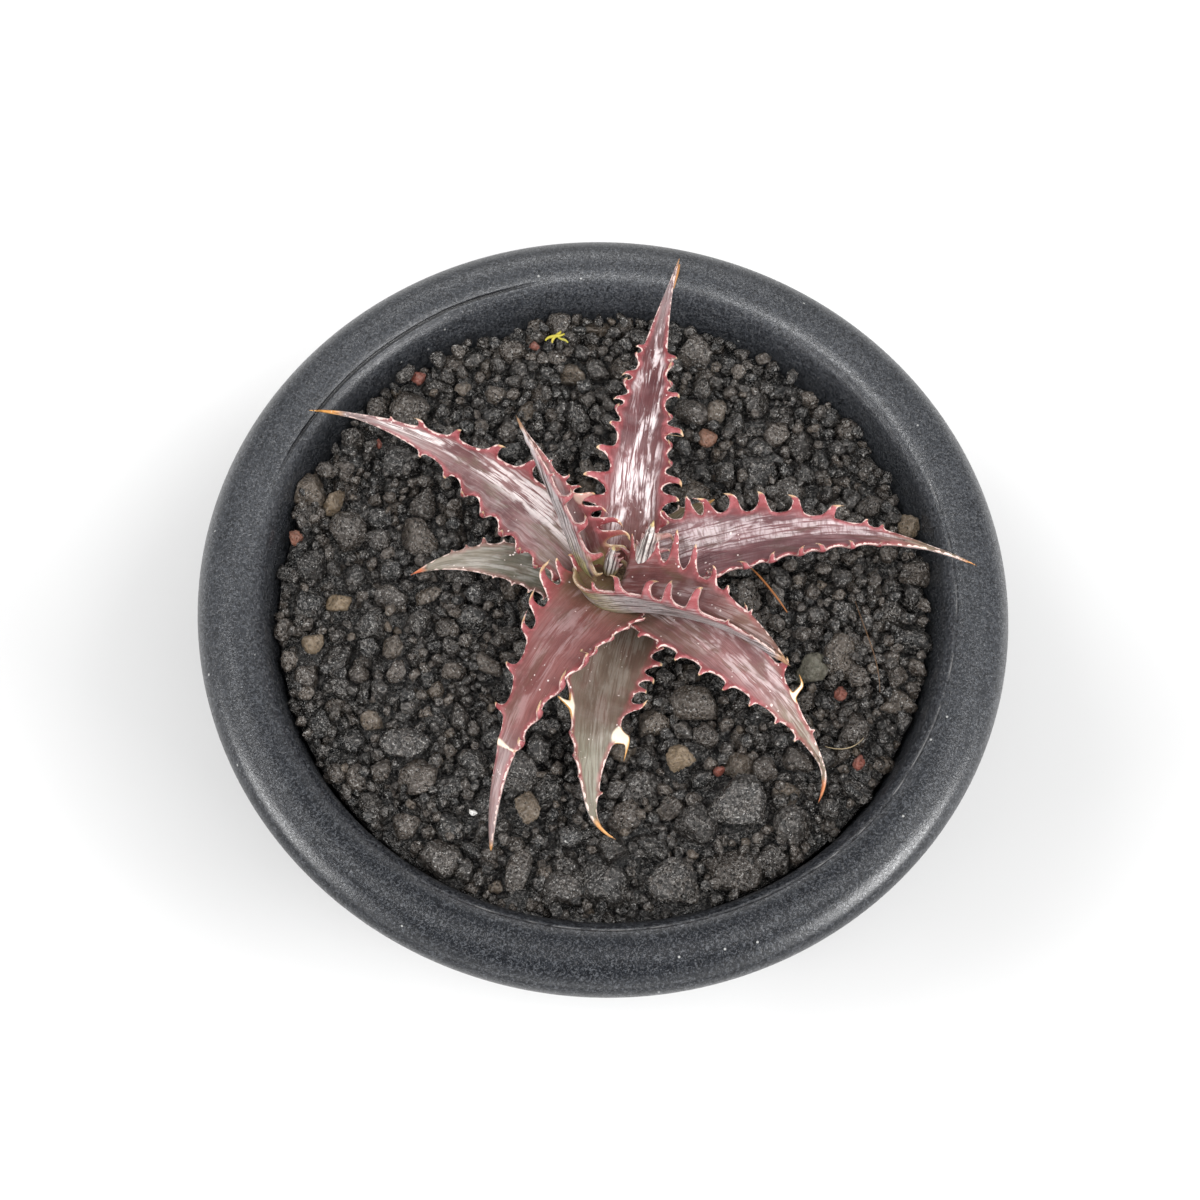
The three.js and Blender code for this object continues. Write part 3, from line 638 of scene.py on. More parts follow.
def leaf_net(leaf):
    """The leaf spread flat: points (along, across), their depth inside the outline, and triangles."""
    left = margin_outline(leaf, leaf.left)
    right = margin_outline(leaf, leaf.right)
    sides = []
    for hand, side in ((1, left), (-1, right)):
        edge = half_width(leaf, side[:, 0] / leaf.length)
        sides.append(np.stack([side[:, 0], hand * (edge + side[:, 1])], -1))
    base = np.linspace(sides[1][0], sides[0][0], 12)[1:-1]
    loop = np.vstack([sides[0], [(leaf.length, 0.0)], sides[1][::-1], base])
    run = np.roll(loop, -1, axis=0) - np.roll(loop, 1, axis=0)
    inward = np.stack([run[:, 1], -run[:, 0]], -1) / np.maximum(np.linalg.norm(run, axis=1), 1e-9)[:, None]
    rings = []
    for depth in NET_RINGS:
        ring = loop + inward * depth
        reach, inside = distance_to(ring, loop)
        rings.append(ring[inside & (reach > depth * 0.8)])
    rows = []
    top = np.abs(loop[:, 1]).max()
    for number, across in enumerate(np.arange(-top, top, NET_PITCH * 0.87)):
        along = np.arange(0.3 + (number % 2) * NET_PITCH / 2, leaf.length, NET_PITCH)
        rows.append(np.stack([along, np.full(len(along), across)], -1))
    grid = np.vstack(rows)
    reach, inside = distance_to(grid, loop)
    grid = grid[inside & (reach > NET_EDGE)]
    inner = np.vstack([thinned(np.vstack(rings), 0.09), grid])
    flat = np.vstack([loop, inner])
    edges = [(i, (i + 1) % len(loop)) for i in range(len(loop))]
    made = delaunay_2d_cdt([Vector(p) for p in flat], edges, [], 1, 1e-5)
    points = np.array([tuple(p) for p in made[0]])
    triangles = np.array([f for f in made[2] if len(f) == 3])
    depth, _ = distance_to(points, loop)
    return points, depth, triangles


def margin_values(leaf, flat, half, across):
    """What the teeth of the nearer margin give to each point of the leaf spread flat.

    The height, curl and cream of the nearest tooth, the red flush at the teeth's feet, and how far the blade
    waves with its teeth: up, and sideways along the blade's left.
    """
    length = leaf.length
    height, curl, cream, flush, lift, sideways = (np.zeros(len(flat)) for _ in range(6))
    for side, teeth in ((1, leaf.left), (-1, leaf.right)):
        mine = np.where(flat[:, 1] >= 0, 1, -1) == side
        nearest = np.abs(flat[:, :1] - [tooth.at * length for tooth in teeth]).argmin(axis=1)
        height[mine] = np.array([tooth.height for tooth in teeth])[nearest][mine]
        curl[mine] = np.radians([float(tooth.curl) for tooth in teeth])[nearest][mine]
        cream[mine] = np.array([float(tooth.cream) for tooth in teeth])[nearest][mine]
        for tooth in teeth:
            sway = np.exp(-(((flat[:, 0] - tooth.at * length) / (0.5 * tooth.height + 0.3)) ** 2))
            sway = np.where(mine, sway * smoothstep(np.abs(across), 0.5, 1.0), 0)
            lift += 0.14 * tooth.height * (tooth.curl - 25) / 90 * sway
            sideways += side * 0.33 * tooth.height * max(0, tooth.curl - 40) / 80 * sway
            inside = np.maximum(half - np.abs(flat[:, 1]), 0) / (0.3 + 0.28 * tooth.height)
            flush = np.maximum(flush, np.where(mine, np.sqrt(sway) * np.exp(-(inside**2)), 0))
    return height, curl, cream, flush, lift, sideways


def leaf_surface(leaf, flat):
    """Middle surface of the blade in space, the direction of its upper side, and the shader's values."""
    length = leaf.length
    t = np.clip(flat[:, 0] / length, 0, 1)
    half = half_width(leaf, t)
    hand = np.where(flat[:, 1] >= 0, 1.0, -1.0)
    beyond = np.maximum(np.abs(flat[:, 1]) - half, 0)
    across = np.clip(flat[:, 1] / half, -1, 1)
    height, curl, cream, flush, lift, sideways = margin_values(leaf, flat, half, across)
    if leaf.scar:
        place, reach = leaf.scar
        off = (flat[:, 0] - place * length - 0.12 * flat[:, 1]) / (reach * (0.75 - 0.5 * across))
        scar = np.exp(-(off**2))
        cream, flush, lift = np.maximum(cream, scar), np.maximum(flush, scar), lift + 0.3 * scar
    # each half of the blade folds up from the midrib, and its slope grows towards the margin
    fold = np.radians(leaf.fold)
    sideways += half * np.cos(fold) * across
    lift += half * np.sin(fold) * np.abs(across) ** 1.6
    slope = np.arctan(1.6 * np.tan(fold) * np.abs(across) ** 0.6)
    # beyond the margin, a tooth goes on from that slope and curls evenly
    bend = curl / height  # radians for each millimetre
    bend = np.where(np.abs(bend) < 1e-4, 1e-4, bend)
    end = slope + bend * beyond
    sideways += hand * (np.sin(end) - np.sin(slope)) / bend
    lift += (np.cos(slope) - np.cos(end)) / bend
    _, left, up = blade_axes(leaf, t)
    middle = midrib(leaf, t) + left * sideways[:, None] + up * lift[:, None]
    normal = up * np.cos(end)[:, None] - left * (hand * np.sin(end))[:, None]
    tooth = np.clip(beyond / height, 0, 1)
    return middle, normal, dict(t=t, across=across, tooth=tooth, half=half, flush=flush, cream=cream)


def leaf_thickness(leaf, depth, values):
    """Half thickness, rounded off at the outline and thin in the teeth."""
    full = BLADE_THICKNESS * (1 - 0.45 * values["t"]) * np.sqrt(leaf.width / 11)
    middle = np.minimum(full, values["half"] + 0.5) / 2
    rim = MARGIN_THICKNESS / 2 * (1 - 0.35 * values["tooth"])
    share = smoothstep(depth, 0.15, np.maximum(values["half"] * 0.9, 0.6))
    body = rim + (middle - rim) * share
    return body * np.sqrt(1 - (1 - np.clip(depth / 0.32, 0, 1)) ** 2)


RIB_PITCH, RIB_HEIGHT, BAND_HEIGHT = 0.85, 0.035, 0.06


def leaf_mesh(leaf, seed):
    """The leaf's closed mesh: an upper and a lower skin on the same net, joined at the outline."""
    flat, depth, triangles = leaf_net(leaf)
    middle, normal, values = leaf_surface(leaf, flat)
    thick = leaf_thickness(leaf, depth, values)
    calm = smoothstep(depth, 0.3, 0.9)
    ribs = RIB_HEIGHT * np.sin(2 * np.pi * (flat[:, 1] / RIB_PITCH + 0.35 * waves(flat[:, :1], seed, 16)))
    bands = BAND_HEIGHT * waves(flat * (1.0, 0.35), seed + 1, 3.2)
    relief = calm * (ribs + bands)
    top = middle + normal * (thick + relief)[:, None]
    under = middle - normal * (thick - relief * 0.4)[:, None]
    count = len(flat)
    rim = depth < 1e-6
    lower = np.where(rim, np.arange(count), np.arange(count) + count)
    a, b, c = flat[triangles[:, 0]], flat[triangles[:, 1]], flat[triangles[:, 2]]
    turned = np.cross(b - a, c - a) < 0
    triangles[turned] = triangles[turned][:, ::-1]
    points = np.vstack([top, under])
    faces = np.vstack([triangles, lower[triangles][:, ::-1]])
    used = np.unique(faces)
    renumber = np.full(len(points), -1)
    renumber[used] = np.arange(len(used))
    twice = np.vstack([flat, flat])[used]
    depth = np.concatenate([depth, depth])[used]
    side = np.concatenate([np.ones(count), np.zeros(count)])[used]
    pick = {key: np.concatenate([value, value])[used] for key, value in values.items()}
    piece = mesh_object(leaf.name + "_blade", points[used], renumber[faces])
    add_attribute(piece, "leaf_place", np.stack([twice[:, 0], twice[:, 1], depth], -1))
    add_attribute(piece, "leaf_zone", np.stack([pick["t"], pick["across"], side], -1))
    add_attribute(piece, "leaf_tooth", np.stack([pick["tooth"], pick["flush"], pick["cream"]], -1))
    return piece


SCURF_PALE = (0.46, 0.42, 0.42)
# A look: dark and light skin, stains, and pale wax with painted sheen, with its colour (wax),
# its amount (waxed) and how far it spreads and cracks. The neck is the narrow part that pales
# from neck_from on, where bare takes off the wax and sheen; the horny tip begins at tip_from and the colour
# of the base ends at base_to, all as fractions of the length. scurf is the pale bloom of the lower side,
# young how green the young margin is, and red how red the teeth are.
Look = namedtuple(
    "Look",
    "dark light stain wax waxed neck neck_from tip tip_from base base_to spread cracked bare scurf young red",
    defaults=(0.0, 0.1, 0.0, SCURF_PALE, 0.0, 1.0),
)
LOOKS = {
    "mauve": Look(
        dark=(0.088, 0.032, 0.036), light=(0.185, 0.082, 0.087), stain=(0.080, 0.050, 0.038),
        wax=(0.66, 0.56, 0.57), waxed=0.62, spread=0.01, cracked=0.5,
        neck=(0.17, 0.145, 0.090), neck_from=0.77, bare=0.8,
        tip=(0.50, 0.19, 0.04), tip_from=0.93, base=(0.095, 0.042, 0.034), base_to=0.17,
    ),
    "combed": Look(
        dark=(0.104, 0.044, 0.045), light=(0.230, 0.124, 0.122), stain=(0.125, 0.104, 0.070),
        wax=(0.74, 0.66, 0.65), waxed=0.84, spread=0.06, neck=(0.275, 0.225, 0.215), neck_from=0.66,
        tip=(0.55, 0.24, 0.05), tip_from=0.88, base=(0.095, 0.042, 0.034), base_to=0.17,
    ),
    "dusky": Look(
        dark=(0.075, 0.024, 0.027), light=(0.165, 0.064, 0.067), stain=(0.095, 0.030, 0.029),
        wax=(0.84, 0.73, 0.74), waxed=0.78, spread=-0.02, neck=(0.30, 0.235, 0.235), neck_from=0.74,
        tip=(0.45, 0.19, 0.06), tip_from=0.94, base=(0.13, 0.040, 0.032), base_to=0.25,
    ),
    "rose": Look(
        dark=(0.115, 0.037, 0.035), light=(0.205, 0.078, 0.073), stain=(0.110, 0.060, 0.044),
        wax=(0.50, 0.36, 0.36), waxed=0.30, neck=(0.32, 0.25, 0.245), neck_from=0.68,
        tip=(0.50, 0.24, 0.08), tip_from=0.94, base=(0.125, 0.092, 0.046), base_to=0.26, red=0.9,
    ),
    "arched": Look(
        dark=(0.130, 0.052, 0.052), light=(0.245, 0.116, 0.114), stain=(0.140, 0.092, 0.066),
        wax=(0.60, 0.49, 0.49), waxed=0.60, spread=0.02, neck=(0.19, 0.185, 0.125), neck_from=0.66,
        bare=0.6, tip=(0.48, 0.15, 0.07), tip_from=0.88, base=(0.115, 0.070, 0.040), base_to=0.26, red=0.9,
    ),
    "red": Look(
        dark=(0.085, 0.028, 0.027), light=(0.170, 0.060, 0.057), stain=(0.085, 0.055, 0.030),
        wax=(0.42, 0.33, 0.33), waxed=0.35, neck=(0.15, 0.085, 0.06), neck_from=0.7,
        tip=(0.24, 0.12, 0.07), tip_from=0.90, base=(0.27, 0.235, 0.085), base_to=0.17, young=0.55,
    ),
    "silver": Look(
        dark=(0.11, 0.05, 0.045), light=(0.24, 0.14, 0.12), stain=(0.13, 0.09, 0.05),
        wax=(0.62, 0.55, 0.50), waxed=0.6, neck=(0.30, 0.24, 0.16), neck_from=0.6,
        tip=(0.5, 0.40, 0.20), tip_from=0.88, base=(0.30, 0.26, 0.10), base_to=0.2, young=0.6, red=0.8,
        scurf=(0.70, 0.65, 0.62),
    ),
    "olive": Look(
        dark=(0.092, 0.061, 0.045), light=(0.145, 0.107, 0.082), stain=(0.120, 0.062, 0.050),
        wax=(0.36, 0.33, 0.29), waxed=0.26, neck=(0.205, 0.20, 0.150), neck_from=0.60,
        tip=(0.52, 0.24, 0.085), tip_from=0.87, base=(0.080, 0.050, 0.035), base_to=0.3, red=0.8,
    ),
    "grey": Look(
        dark=(0.070, 0.062, 0.044), light=(0.128, 0.118, 0.088), stain=(0.115, 0.078, 0.060),
        wax=(0.44, 0.42, 0.40), waxed=0.35, neck=(0.22, 0.19, 0.15), neck_from=0.6,
        tip=(0.42, 0.10, 0.05), tip_from=0.90, base=(0.08, 0.06, 0.04), base_to=0.2, red=0.35,
    ),
    "brown": Look(
        dark=(0.055, 0.035, 0.02), light=(0.13, 0.09, 0.05), stain=(0.07, 0.05, 0.03),
        wax=(0.3, 0.25, 0.2), waxed=0.4, neck=(0.1, 0.08, 0.04), neck_from=0.5,
        tip=(0.3, 0.15, 0.05), tip_from=0.8, base=(0.06, 0.04, 0.02), base_to=0.17, red=0.1,
    ),
}
YOUNG_GREEN = (0.56, 0.50, 0.24)
TOOTH_RED = (0.225, 0.043, 0.048)
TOOTH_PINK = (0.36, 0.108, 0.118)
MARGIN_PALE = (0.78, 0.60, 0.55)
HORN_CREAM = (0.58, 0.40, 0.21)
HORN_BROWN = (0.50, 0.25, 0.07)
DRY_CREAM = (0.80, 0.70, 0.55)
FLECK_WHITE = (0.80, 0.71, 0.68)
SCURF_DARK = (0.075, 0.056, 0.054)
BASE_DARK, BASE_GREEN = (0.02, 0.02, 0.01), (0.55, 0.52, 0.30)
TIP_BRIGHT = (0.9, 0.6, 0.3)


def leaf_patterns(s, leaf, seed):
    """Noises on the leaf spread flat, in millimetres, and the values that its mesh carries."""
    across_side = 7.0  # keeps the noises of the two sides apart
    along, across_mm, depth = s.attribute("leaf_place")
    t, across, side = s.attribute("leaf_zone")
    tooth, flush, cream = s.attribute("leaf_tooth")
    flat = s.join(along, across_mm, s.plus(s.times(side, across_side), float(seed * 13)))
    low, high = leaf.sheen
    return SimpleNamespace(
        flat=flat, across_mm=across_mm, depth=depth, t=t, side=side, tooth=tooth, flush=flush, cream=cream,
        streak=s.noise(s.scale(flat, (0.07, 1.0, 1.0)), 0.34, detail=3.0, rough=0.6, warp=0.25),
        stain=s.noise(s.scale(flat, (0.55, 1.0, 1.0)), 3.6, detail=5.0, rough=0.6, warp=0.5),
        line=s.noise(s.scale(flat, (0.03, 1.0, 1.0)), 0.20, detail=2.0),
        patch=s.noise(s.scale(flat, (0.40, 1.0, 1.0)), 2.2, detail=4.0, rough=0.6, warp=0.4),
        cloud=s.noise(s.scale(flat, (0.6, 1.0, 1.0)), 6.5, detail=3.0),
        weave=s.noise(s.scale(flat, (1.0, 0.25, 1.0)), 0.50, detail=2.0, warp=0.5),
        crack=s.noise(s.scale(flat, (1.0, 0.14, 1.0)), 2.0, detail=2.0, warp=0.3),
        mottle=s.noise(flat, 1.2, detail=4.0, rough=0.65),
        sheen=s.times(s.step(across, low - 0.25, low + 0.12), s.step(across, high + 0.25, high - 0.12)),
    )


def upper_skin(s, look, p):
    """The upper side: long clouds and faint lines, with combed pale wax and painted sheen. Returns its colour
    and gloss.
    """
    skin = s.mix(s.step(p.cloud, 0.34, 0.66), look.dark, look.light)
    skin = s.mix(s.times(s.step(p.mottle, 0.42, 0.68), 0.35), skin, look.light)
    skin = s.mix(s.times(s.step(p.stain, 0.50, 0.62), 0.6), skin, look.stain)
    skin = s.mix(s.times(s.step(p.line, 0.54, 0.40), 0.45), skin, look.dark)
    neck = s.times(s.step(p.t, look.neck_from - 0.12, look.neck_from + 0.06), 0.88)
    streaked = s.mix(s.step(p.streak, 0.42, 0.60), s.mix(0.5, look.neck, look.dark), look.neck)
    skin = s.mix(neck, skin, streaked)
    based = s.times(s.step(p.t, look.base_to, look.base_to * 0.3), s.blend(p.mottle, 0.3, 1.2))
    skin = s.mix(based, skin, look.base)
    lump = s.plus(p.patch, s.times(s.minus(p.cloud, 0.5), 0.5))
    spread = s.step(lump, 0.43 - look.spread, 0.57 - look.spread)
    # patches of pale wax and painted sheen, most on the sheen's part of the blade
    wax_and_sheen_patches = s.times(spread, s.blend(p.sheen, 0.12, 1.0), s.step(p.t, 0.02, 0.16))
    # cracks across the wax and painted sheen, which leave at least this share of it
    left = 1.0 - look.cracked
    cracks = s.step(s.size(s.minus(p.crack, 0.5)), 0.0, 0.03)
    woven = s.times(s.blend(s.step(p.weave, 0.38, 0.52), left, 1.0), s.blend(cracks, left, 1.0))
    combed = s.times(s.step(p.streak, 0.40, 0.53), woven)
    thin = s.times(s.step(p.streak, 0.54, 0.70), 0.22)
    wax = s.times(s.blend(wax_and_sheen_patches, thin, combed), look.waxed, s.step(p.depth, 0.15, 0.6))
    bare = s.times(s.step(p.t, look.neck_from - 0.06, look.neck_from + 0.08), look.bare)
    wax = s.times(wax, s.step(p.t, 0.97, 0.88), s.minus(1.0, bare))
    return s.mix(wax, skin, look.wax), s.times(wax_and_sheen_patches, wax)


def lower_skin(s, look, p):
    """The lower side: silvery scurf between thin dark ribs, yellow green at the base."""
    rib = s.math("SINE", s.times(s.plus(p.across_mm, s.times(p.cloud, 0.9)), 2 * np.pi / 0.50))
    ragged = s.plus(s.times(rib, 0.6), s.times(s.minus(p.line, 0.5), 8.0))
    scurf = s.times(s.step(ragged, -0.9, 0.5), s.blend(s.step(p.mottle, 0.32, 0.50), 0.45, 1.0))
    lower = s.mix(scurf, SCURF_DARK, look.scurf)
    lower = s.mix(s.times(s.step(p.mottle, 0.50, 0.72), 0.3), lower, look.light)
    green = s.mix(scurf, s.mix(0.6, look.base, BASE_DARK), s.mix(0.35, look.base, BASE_GREEN))
    return s.mix(s.times(s.step(p.t, 0.34, 0.12), s.step(p.patch, 0.36, 0.56)), lower, green)


def toothed_margin(s, look, p, colour):
    """Red teeth with a thin pale edge and a horny point, or a whole tooth dried to cream."""
    flushed = s.times(s.step(p.flush, 0.5, 1.0), 0.5)
    redden = s.times(s.most(s.step(p.tooth, 0.0, 0.32), flushed), look.red)
    colour = s.mix(s.times(redden, 0.88), colour, TOOTH_RED)
    speck = s.times(s.minus(p.mottle, 0.5), 0.8)
    pink = s.times(s.step(s.plus(p.tooth, speck), 0.2, 0.8), look.red, 0.65)
    colour = s.mix(pink, colour, TOOTH_PINK)
    edge = s.step(p.depth, s.blend(p.mottle, 0.2, 1.3), 0.1)
    edge = s.times(edge, look.red, s.step(p.t, 0.86, 0.70), 0.75)
    colour = s.mix(edge, colour, s.mix(s.step(p.mottle, 0.45, 0.60), TOOTH_RED, TOOTH_PINK))
    ragged = s.plus(p.depth, s.times(s.minus(s.noise(p.flat, 0.9, detail=4.0), 0.5), 0.8))
    colour = s.mix(s.times(s.step(ragged, 0.09, 0.02), 0.8), colour, MARGIN_PALE)
    young = s.times(s.step(p.t, 0.24, 0.08), s.step(p.depth, 0.6, 0.1), look.young)
    colour = s.mix(young, colour, YOUNG_GREEN)
    horn = s.step(s.plus(p.tooth, s.times(speck, 0.3)), 0.84, 0.98)
    colour = s.mix(s.times(horn, 0.8), colour, HORN_CREAM)
    dry = s.times(p.cream, s.most(s.step(p.tooth, 0.0, 0.2), s.step(p.flush, 0.6, 0.9)))
    brown = s.most(s.step(p.depth, 0.13, 0.05), s.step(p.tooth, 0.80, 1.0))
    return s.mix(dry, colour, s.mix(brown, DRY_CREAM, HORN_BROWN))


def leaf_material(leaf, seed):
    """Waxy skin with long pale streaks of wax and painted sheen, red teeth with a thin pale edge, and horny
    points.
    """
    look = LOOKS[leaf.look]
    s = Shader(leaf.name + "_skin")
    p = leaf_patterns(s, leaf, seed)
    skin, wax = upper_skin(s, look, p)
    colour = s.mix(p.side, lower_skin(s, look, p), skin)
    colour = toothed_margin(s, look, p, colour)
    horny = s.step(p.t, look.tip_from, min(0.995, look.tip_from + 0.05))
    bright_tip = s.mix(0.4, look.tip, TIP_BRIGHT)
    colour = s.mix(horny, colour, s.mix(s.times(s.step(p.line, 0.4, 0.6), 0.6), look.tip, bright_tip))
    flecks = s.step(s.plus(s.cells(p.flat, 0.8), s.times(p.mottle, 0.7)), 0.52, 0.42)
    strewn = s.step(s.noise(p.flat, 3.5, detail=3.0), 0.54, 0.60)
    colour = s.mix(s.times(flecks, strewn, p.side, 0.9), colour, FLECK_WHITE)
    s.set("Base Color", colour)
    s.set("Roughness", s.blend(s.step(wax, 0.0, 0.6), 0.38, 0.28))
    s.set("Specular IOR Level", 0.38)
    s.set("Coat Weight", s.times(s.step(wax, 0.0, 0.6), 0.2))
    s.set("Coat Roughness", 0.22)
    s.set("Subsurface Weight", 0.06)
    s.set("Subsurface Radius", (1.0, 0.35, 0.3))
    s.set("Subsurface Scale", 0.6 * MM)
    grooves = s.bump(p.streak, 0.09)
    grooves = s.bump(p.line, 0.03, grooves)
    grooves = s.bump(p.weave, 0.03, grooves)
    s.set("Normal", s.bump(p.patch, 0.16, grooves))
    return s.material


def build_leaves():
    blades = []
    for number, leaf in enumerate(LEAVES):
        blade = leaf_mesh(leaf, seed=100 + 7 * number)
        blade.data.materials.append(leaf_material(leaf, seed=number + 1))
        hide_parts(leaf.name)
        blades.append(blade)
    return blades


BLADES = build_leaves()

# ---------------------------------------------------------------- gravel and stones

BED_FLOOR_Z = 80.6  # the loose grains lie on the compact bed below this
Stone = namedtuple("Stone", "name at radii turn tint")
STONES = [
    Stone(name="stone_large_right", at=(21.9, -29.5, 86.1), radii=(4.9, 4.4, 3.2), turn=20, tint=0.30),
    Stone(name="stone_large_front", at=(12.7, -42.2, 85.7), radii=(4.1, 3.4, 2.8), turn=-15, tint=0.28),
    Stone(name="stone_slab_left", at=(-27.1, -24.8, 85.3), radii=(3.6, 2.2, 1.4), turn=8, tint=0.30),
    Stone(name="stone_pebble_grey", at=(-8.9, -42.9, 85.4), radii=(2.1, 3.4, 1.7), turn=-12, tint=0.55),
    Stone(name="stone_tan_right", at=(12.7, -23.9, 85.6), radii=(2.3, 2.1, 1.8), turn=0, tint=2.2),
    Stone(name="stone_tan_front", at=(-8.3, -33.1, 85.4), radii=(2.0, 2.9, 1.6), turn=10, tint=1.7),
]
# Single grains that stand out: x, y, radius, tint. Tints up to 1 run from black to grey brown, 1 to 3 from
# grey brown to tan, 3 to 4 is brick red, 5 is grey green, and 9 is white.
MARKED_GRAINS = [
    (-39.0, -3.6, 1.7, 2.2), (-32.1, -21.7, 1.9, 1.5), (-25.9, -36.9, 2.3, 1.0), (13.4, 28.4, 1.4, 3.2),
    (-36.1, 22.4, 0.7, 3.9), (31.1, -7.8, 2.0, 5.0), (38.7, -22.1, 1.0, 3.7), (15.0, -14.2, 3.3, 1.2),
    (45.0, 16.5, 1.7, 1.8), (30.0, -22.0, 2.0, 0.7), (-16.0, -11.5, 1.6, 1.2), (-28.2, 8.1, 3.3, 1.15),
    (-37.4, 0.7, 2.3, 0.2), (-26.1, -1.1, 1.9, 1.3), (30.3, -31.7, 2.7, 0.35), (21.4, -39.0, 3.0, 0.55),
    (16.0, -33.3, 2.9, 0.3), (15.3, -42.6, 2.7, 0.5), (16.4, -19.9, 1.8, 0.6), (38.5, -16.9, 2.1, 0.6),
    (-39.0, 8.2, 2.2, 0.6), (-34.6, 7.2, 2.0, 0.4), (-42.2, -10.6, 1.6, 2.0), (-30.4, -9.6, 1.6, 1.3),
    (-29.5, -13.6, 1.6, 0.8), (-41.7, 12.5, 1.7, 1.9), (-45.6, 14.4, 2.2, 1.4), (35.7, -11.4, 0.9, 3.5),
    (18.6, -25.2, 0.8, 3.8), (-16.2, -34.6, 0.55, 9.0), (-22.0, 3.4, 2.3, 0.35), (-46.6, 6.0, 1.0, 3.3),
    (-14.0, 41.2, 0.9, 3.5), (-31.2, 33.9, 0.95, 3.6), (-20.5, -41.0, 2.3, 0.5), (-2.5, -44.5, 1.9, 0.4),
    (-19.5, 33.0, 1.9, 1.2), (24.0, 30.5, 1.9, 0.9),
]
GRAIN_SEED, STONE_SEED = 11, 51
GRAIN_SWELL, STONE_SWELL = 1.33, 1.2  # planes cut a lump, so it is made this much bigger than its ball
POUR_TRIES, POUR_SCATTER = 10, 5.0  # places tried for each grain, and how far apart they lie
POUR_ENDS = 110  # misses at which the pouring ends; a grain that finds a place takes one off
FILLING_FROM = 98  # misses from which only small grains are tried
MOST_GRAINS = 5500
UNDER_LEAF = 1.15  # how far a grain stays under the leaves, in its own radii
DOME_SIZES = (40, 90, 160, 260, 400, 620, 1000)  # points of a grain's mesh
DOME_POINTS_SEEN, DOME_POINTS_MOST = 3.2, 150  # for each cell that shows it, and for its radius squared
GRAVEL_PIECES = 4

LAVA_BLACK, LAVA_BROWN = (0.0085, 0.0085, 0.0085), (0.056, 0.044, 0.035)
STONE_TAN = (0.21, 0.15, 0.088)
BRICK_RED = (0.19, 0.050, 0.032)
GREY_GREEN = (0.098, 0.092, 0.066)
WHITE = (0.80, 0.78, 0.75)
BROWN_DUST = (0.15, 0.125, 0.105)
GRIT_HIGHLIGHT, GRIT_SHADE = (0.36, 0.34, 0.32), (0.001, 0.001, 0.001)
PORE_SHADE = (0.002, 0.0019, 0.0018)
LAVA_GLINT = (0.46, 0.45, 0.43)


def rest_height(x, y, radius, grains):
    """Height at which a ball of that radius would rest at (x, y) on the grains, stones and floor."""
    height = BED_FLOOR_Z + radius
    if len(grains):
        reach = radius + grains[:, 3]
        gap = (grains[:, 0] - x) ** 2 + (grains[:, 1] - y) ** 2
        touching = gap < reach**2
        if touching.any():
            tops = grains[touching, 2] + np.sqrt(reach[touching] ** 2 - gap[touching])
            height = max(height, tops.max())
    for stone in STONES:
        turn = np.radians(stone.turn)
        dx, dy = x - stone.at[0], y - stone.at[1]
        u = dx * np.cos(turn) + dy * np.sin(turn)
        v = dy * np.cos(turn) - dx * np.sin(turn)
        rx, ry, rz = (r + radius * 0.85 for r in stone.radii)
        share = (u / rx) ** 2 + (v / ry) ** 2
        if share < 1:
            height = max(height, stone.at[2] + rz * np.sqrt(1 - share))
    return height


def usual_radius(x, y):
    """The grains are coarser in front and on the left than at the back and on the right."""
    return 1.55 + 0.72 * smoothstep(-y, 0, 40) + 0.48 * smoothstep(-x, 0, 38)


def heap(x, y):
    """How much higher the gravel lies against the rim at the back left."""
    azimuth = np.degrees(np.arctan2(y, x)) % 360
    return 2.4 * np.exp(-(((azimuth - 150) / 24) ** 2)) * smoothstep(np.hypot(x, y), 38, 47)


def pour_grains(draw):
    """Middles and radii of the loose grains: each drops into the lowest of several random places."""
    grains = np.empty((MOST_GRAINS, 4))
    count = 0
    for x, y, radius, _ in MARKED_GRAINS:
        grains[count] = (x, y, GRAVEL_Z + 1.2 - radius, radius)
        count += 1
    misses = 0
    while misses < POUR_ENDS and count < MOST_GRAINS:
        angle, far = draw.uniform(0, 2 * np.pi), MOUTH_RADIUS * np.sqrt(draw.uniform(0, 1))
        middle = np.array([far * np.cos(angle), far * np.sin(angle)])
        radius = np.clip(usual_radius(*middle) * draw.lognormal(0, 0.34), 0.7, 3.5)
        if misses > FILLING_FROM:
            radius = draw.uniform(0.6, 0.95)
        best = None
        for x, y in middle + draw.normal(0, POUR_SCATTER, (POUR_TRIES, 2)):
            if np.hypot(x, y) > MOUTH_RADIUS - 0.4 - radius:
                continue
            if np.hypot(x - STEM_X, y - STEM_Y) < STEM_RADIUS + radius:
                continue
            z = rest_height(x, y, radius, grains[:count])
            if best is None or z < best[2]:
                best = (x, y, z)
        if best is None or best[2] + radius > GRAVEL_Z + 1.0 + heap(*best[:2]) + draw.uniform(-0.8, 1.0):
            misses += 1
            continue
        misses = max(0, misses - 1)
        grains[count] = (*best, radius)
        count += 1
    return grains[:count]


def under_leaves(grains):
    """Lowers the grains that would reach into a leaf."""
    leaf_points = np.vstack([np.array([v.co for v in blade.data.vertices])[::3] / MM for blade in BLADES])
    leaf_points = leaf_points[leaf_points[:, 2] < 92]
    for grain in grains:
        gap = (leaf_points[:, 0] - grain[0]) ** 2 + (leaf_points[:, 1] - grain[1]) ** 2
        reach = grain[3] * UNDER_LEAF
        near = gap < reach**2
        if near.any():
            ceiling = leaf_points[near, 2] - np.sqrt(reach**2 - gap[near])
            grain[2] = min(grain[2], ceiling.min() - 0.05)
    return grains


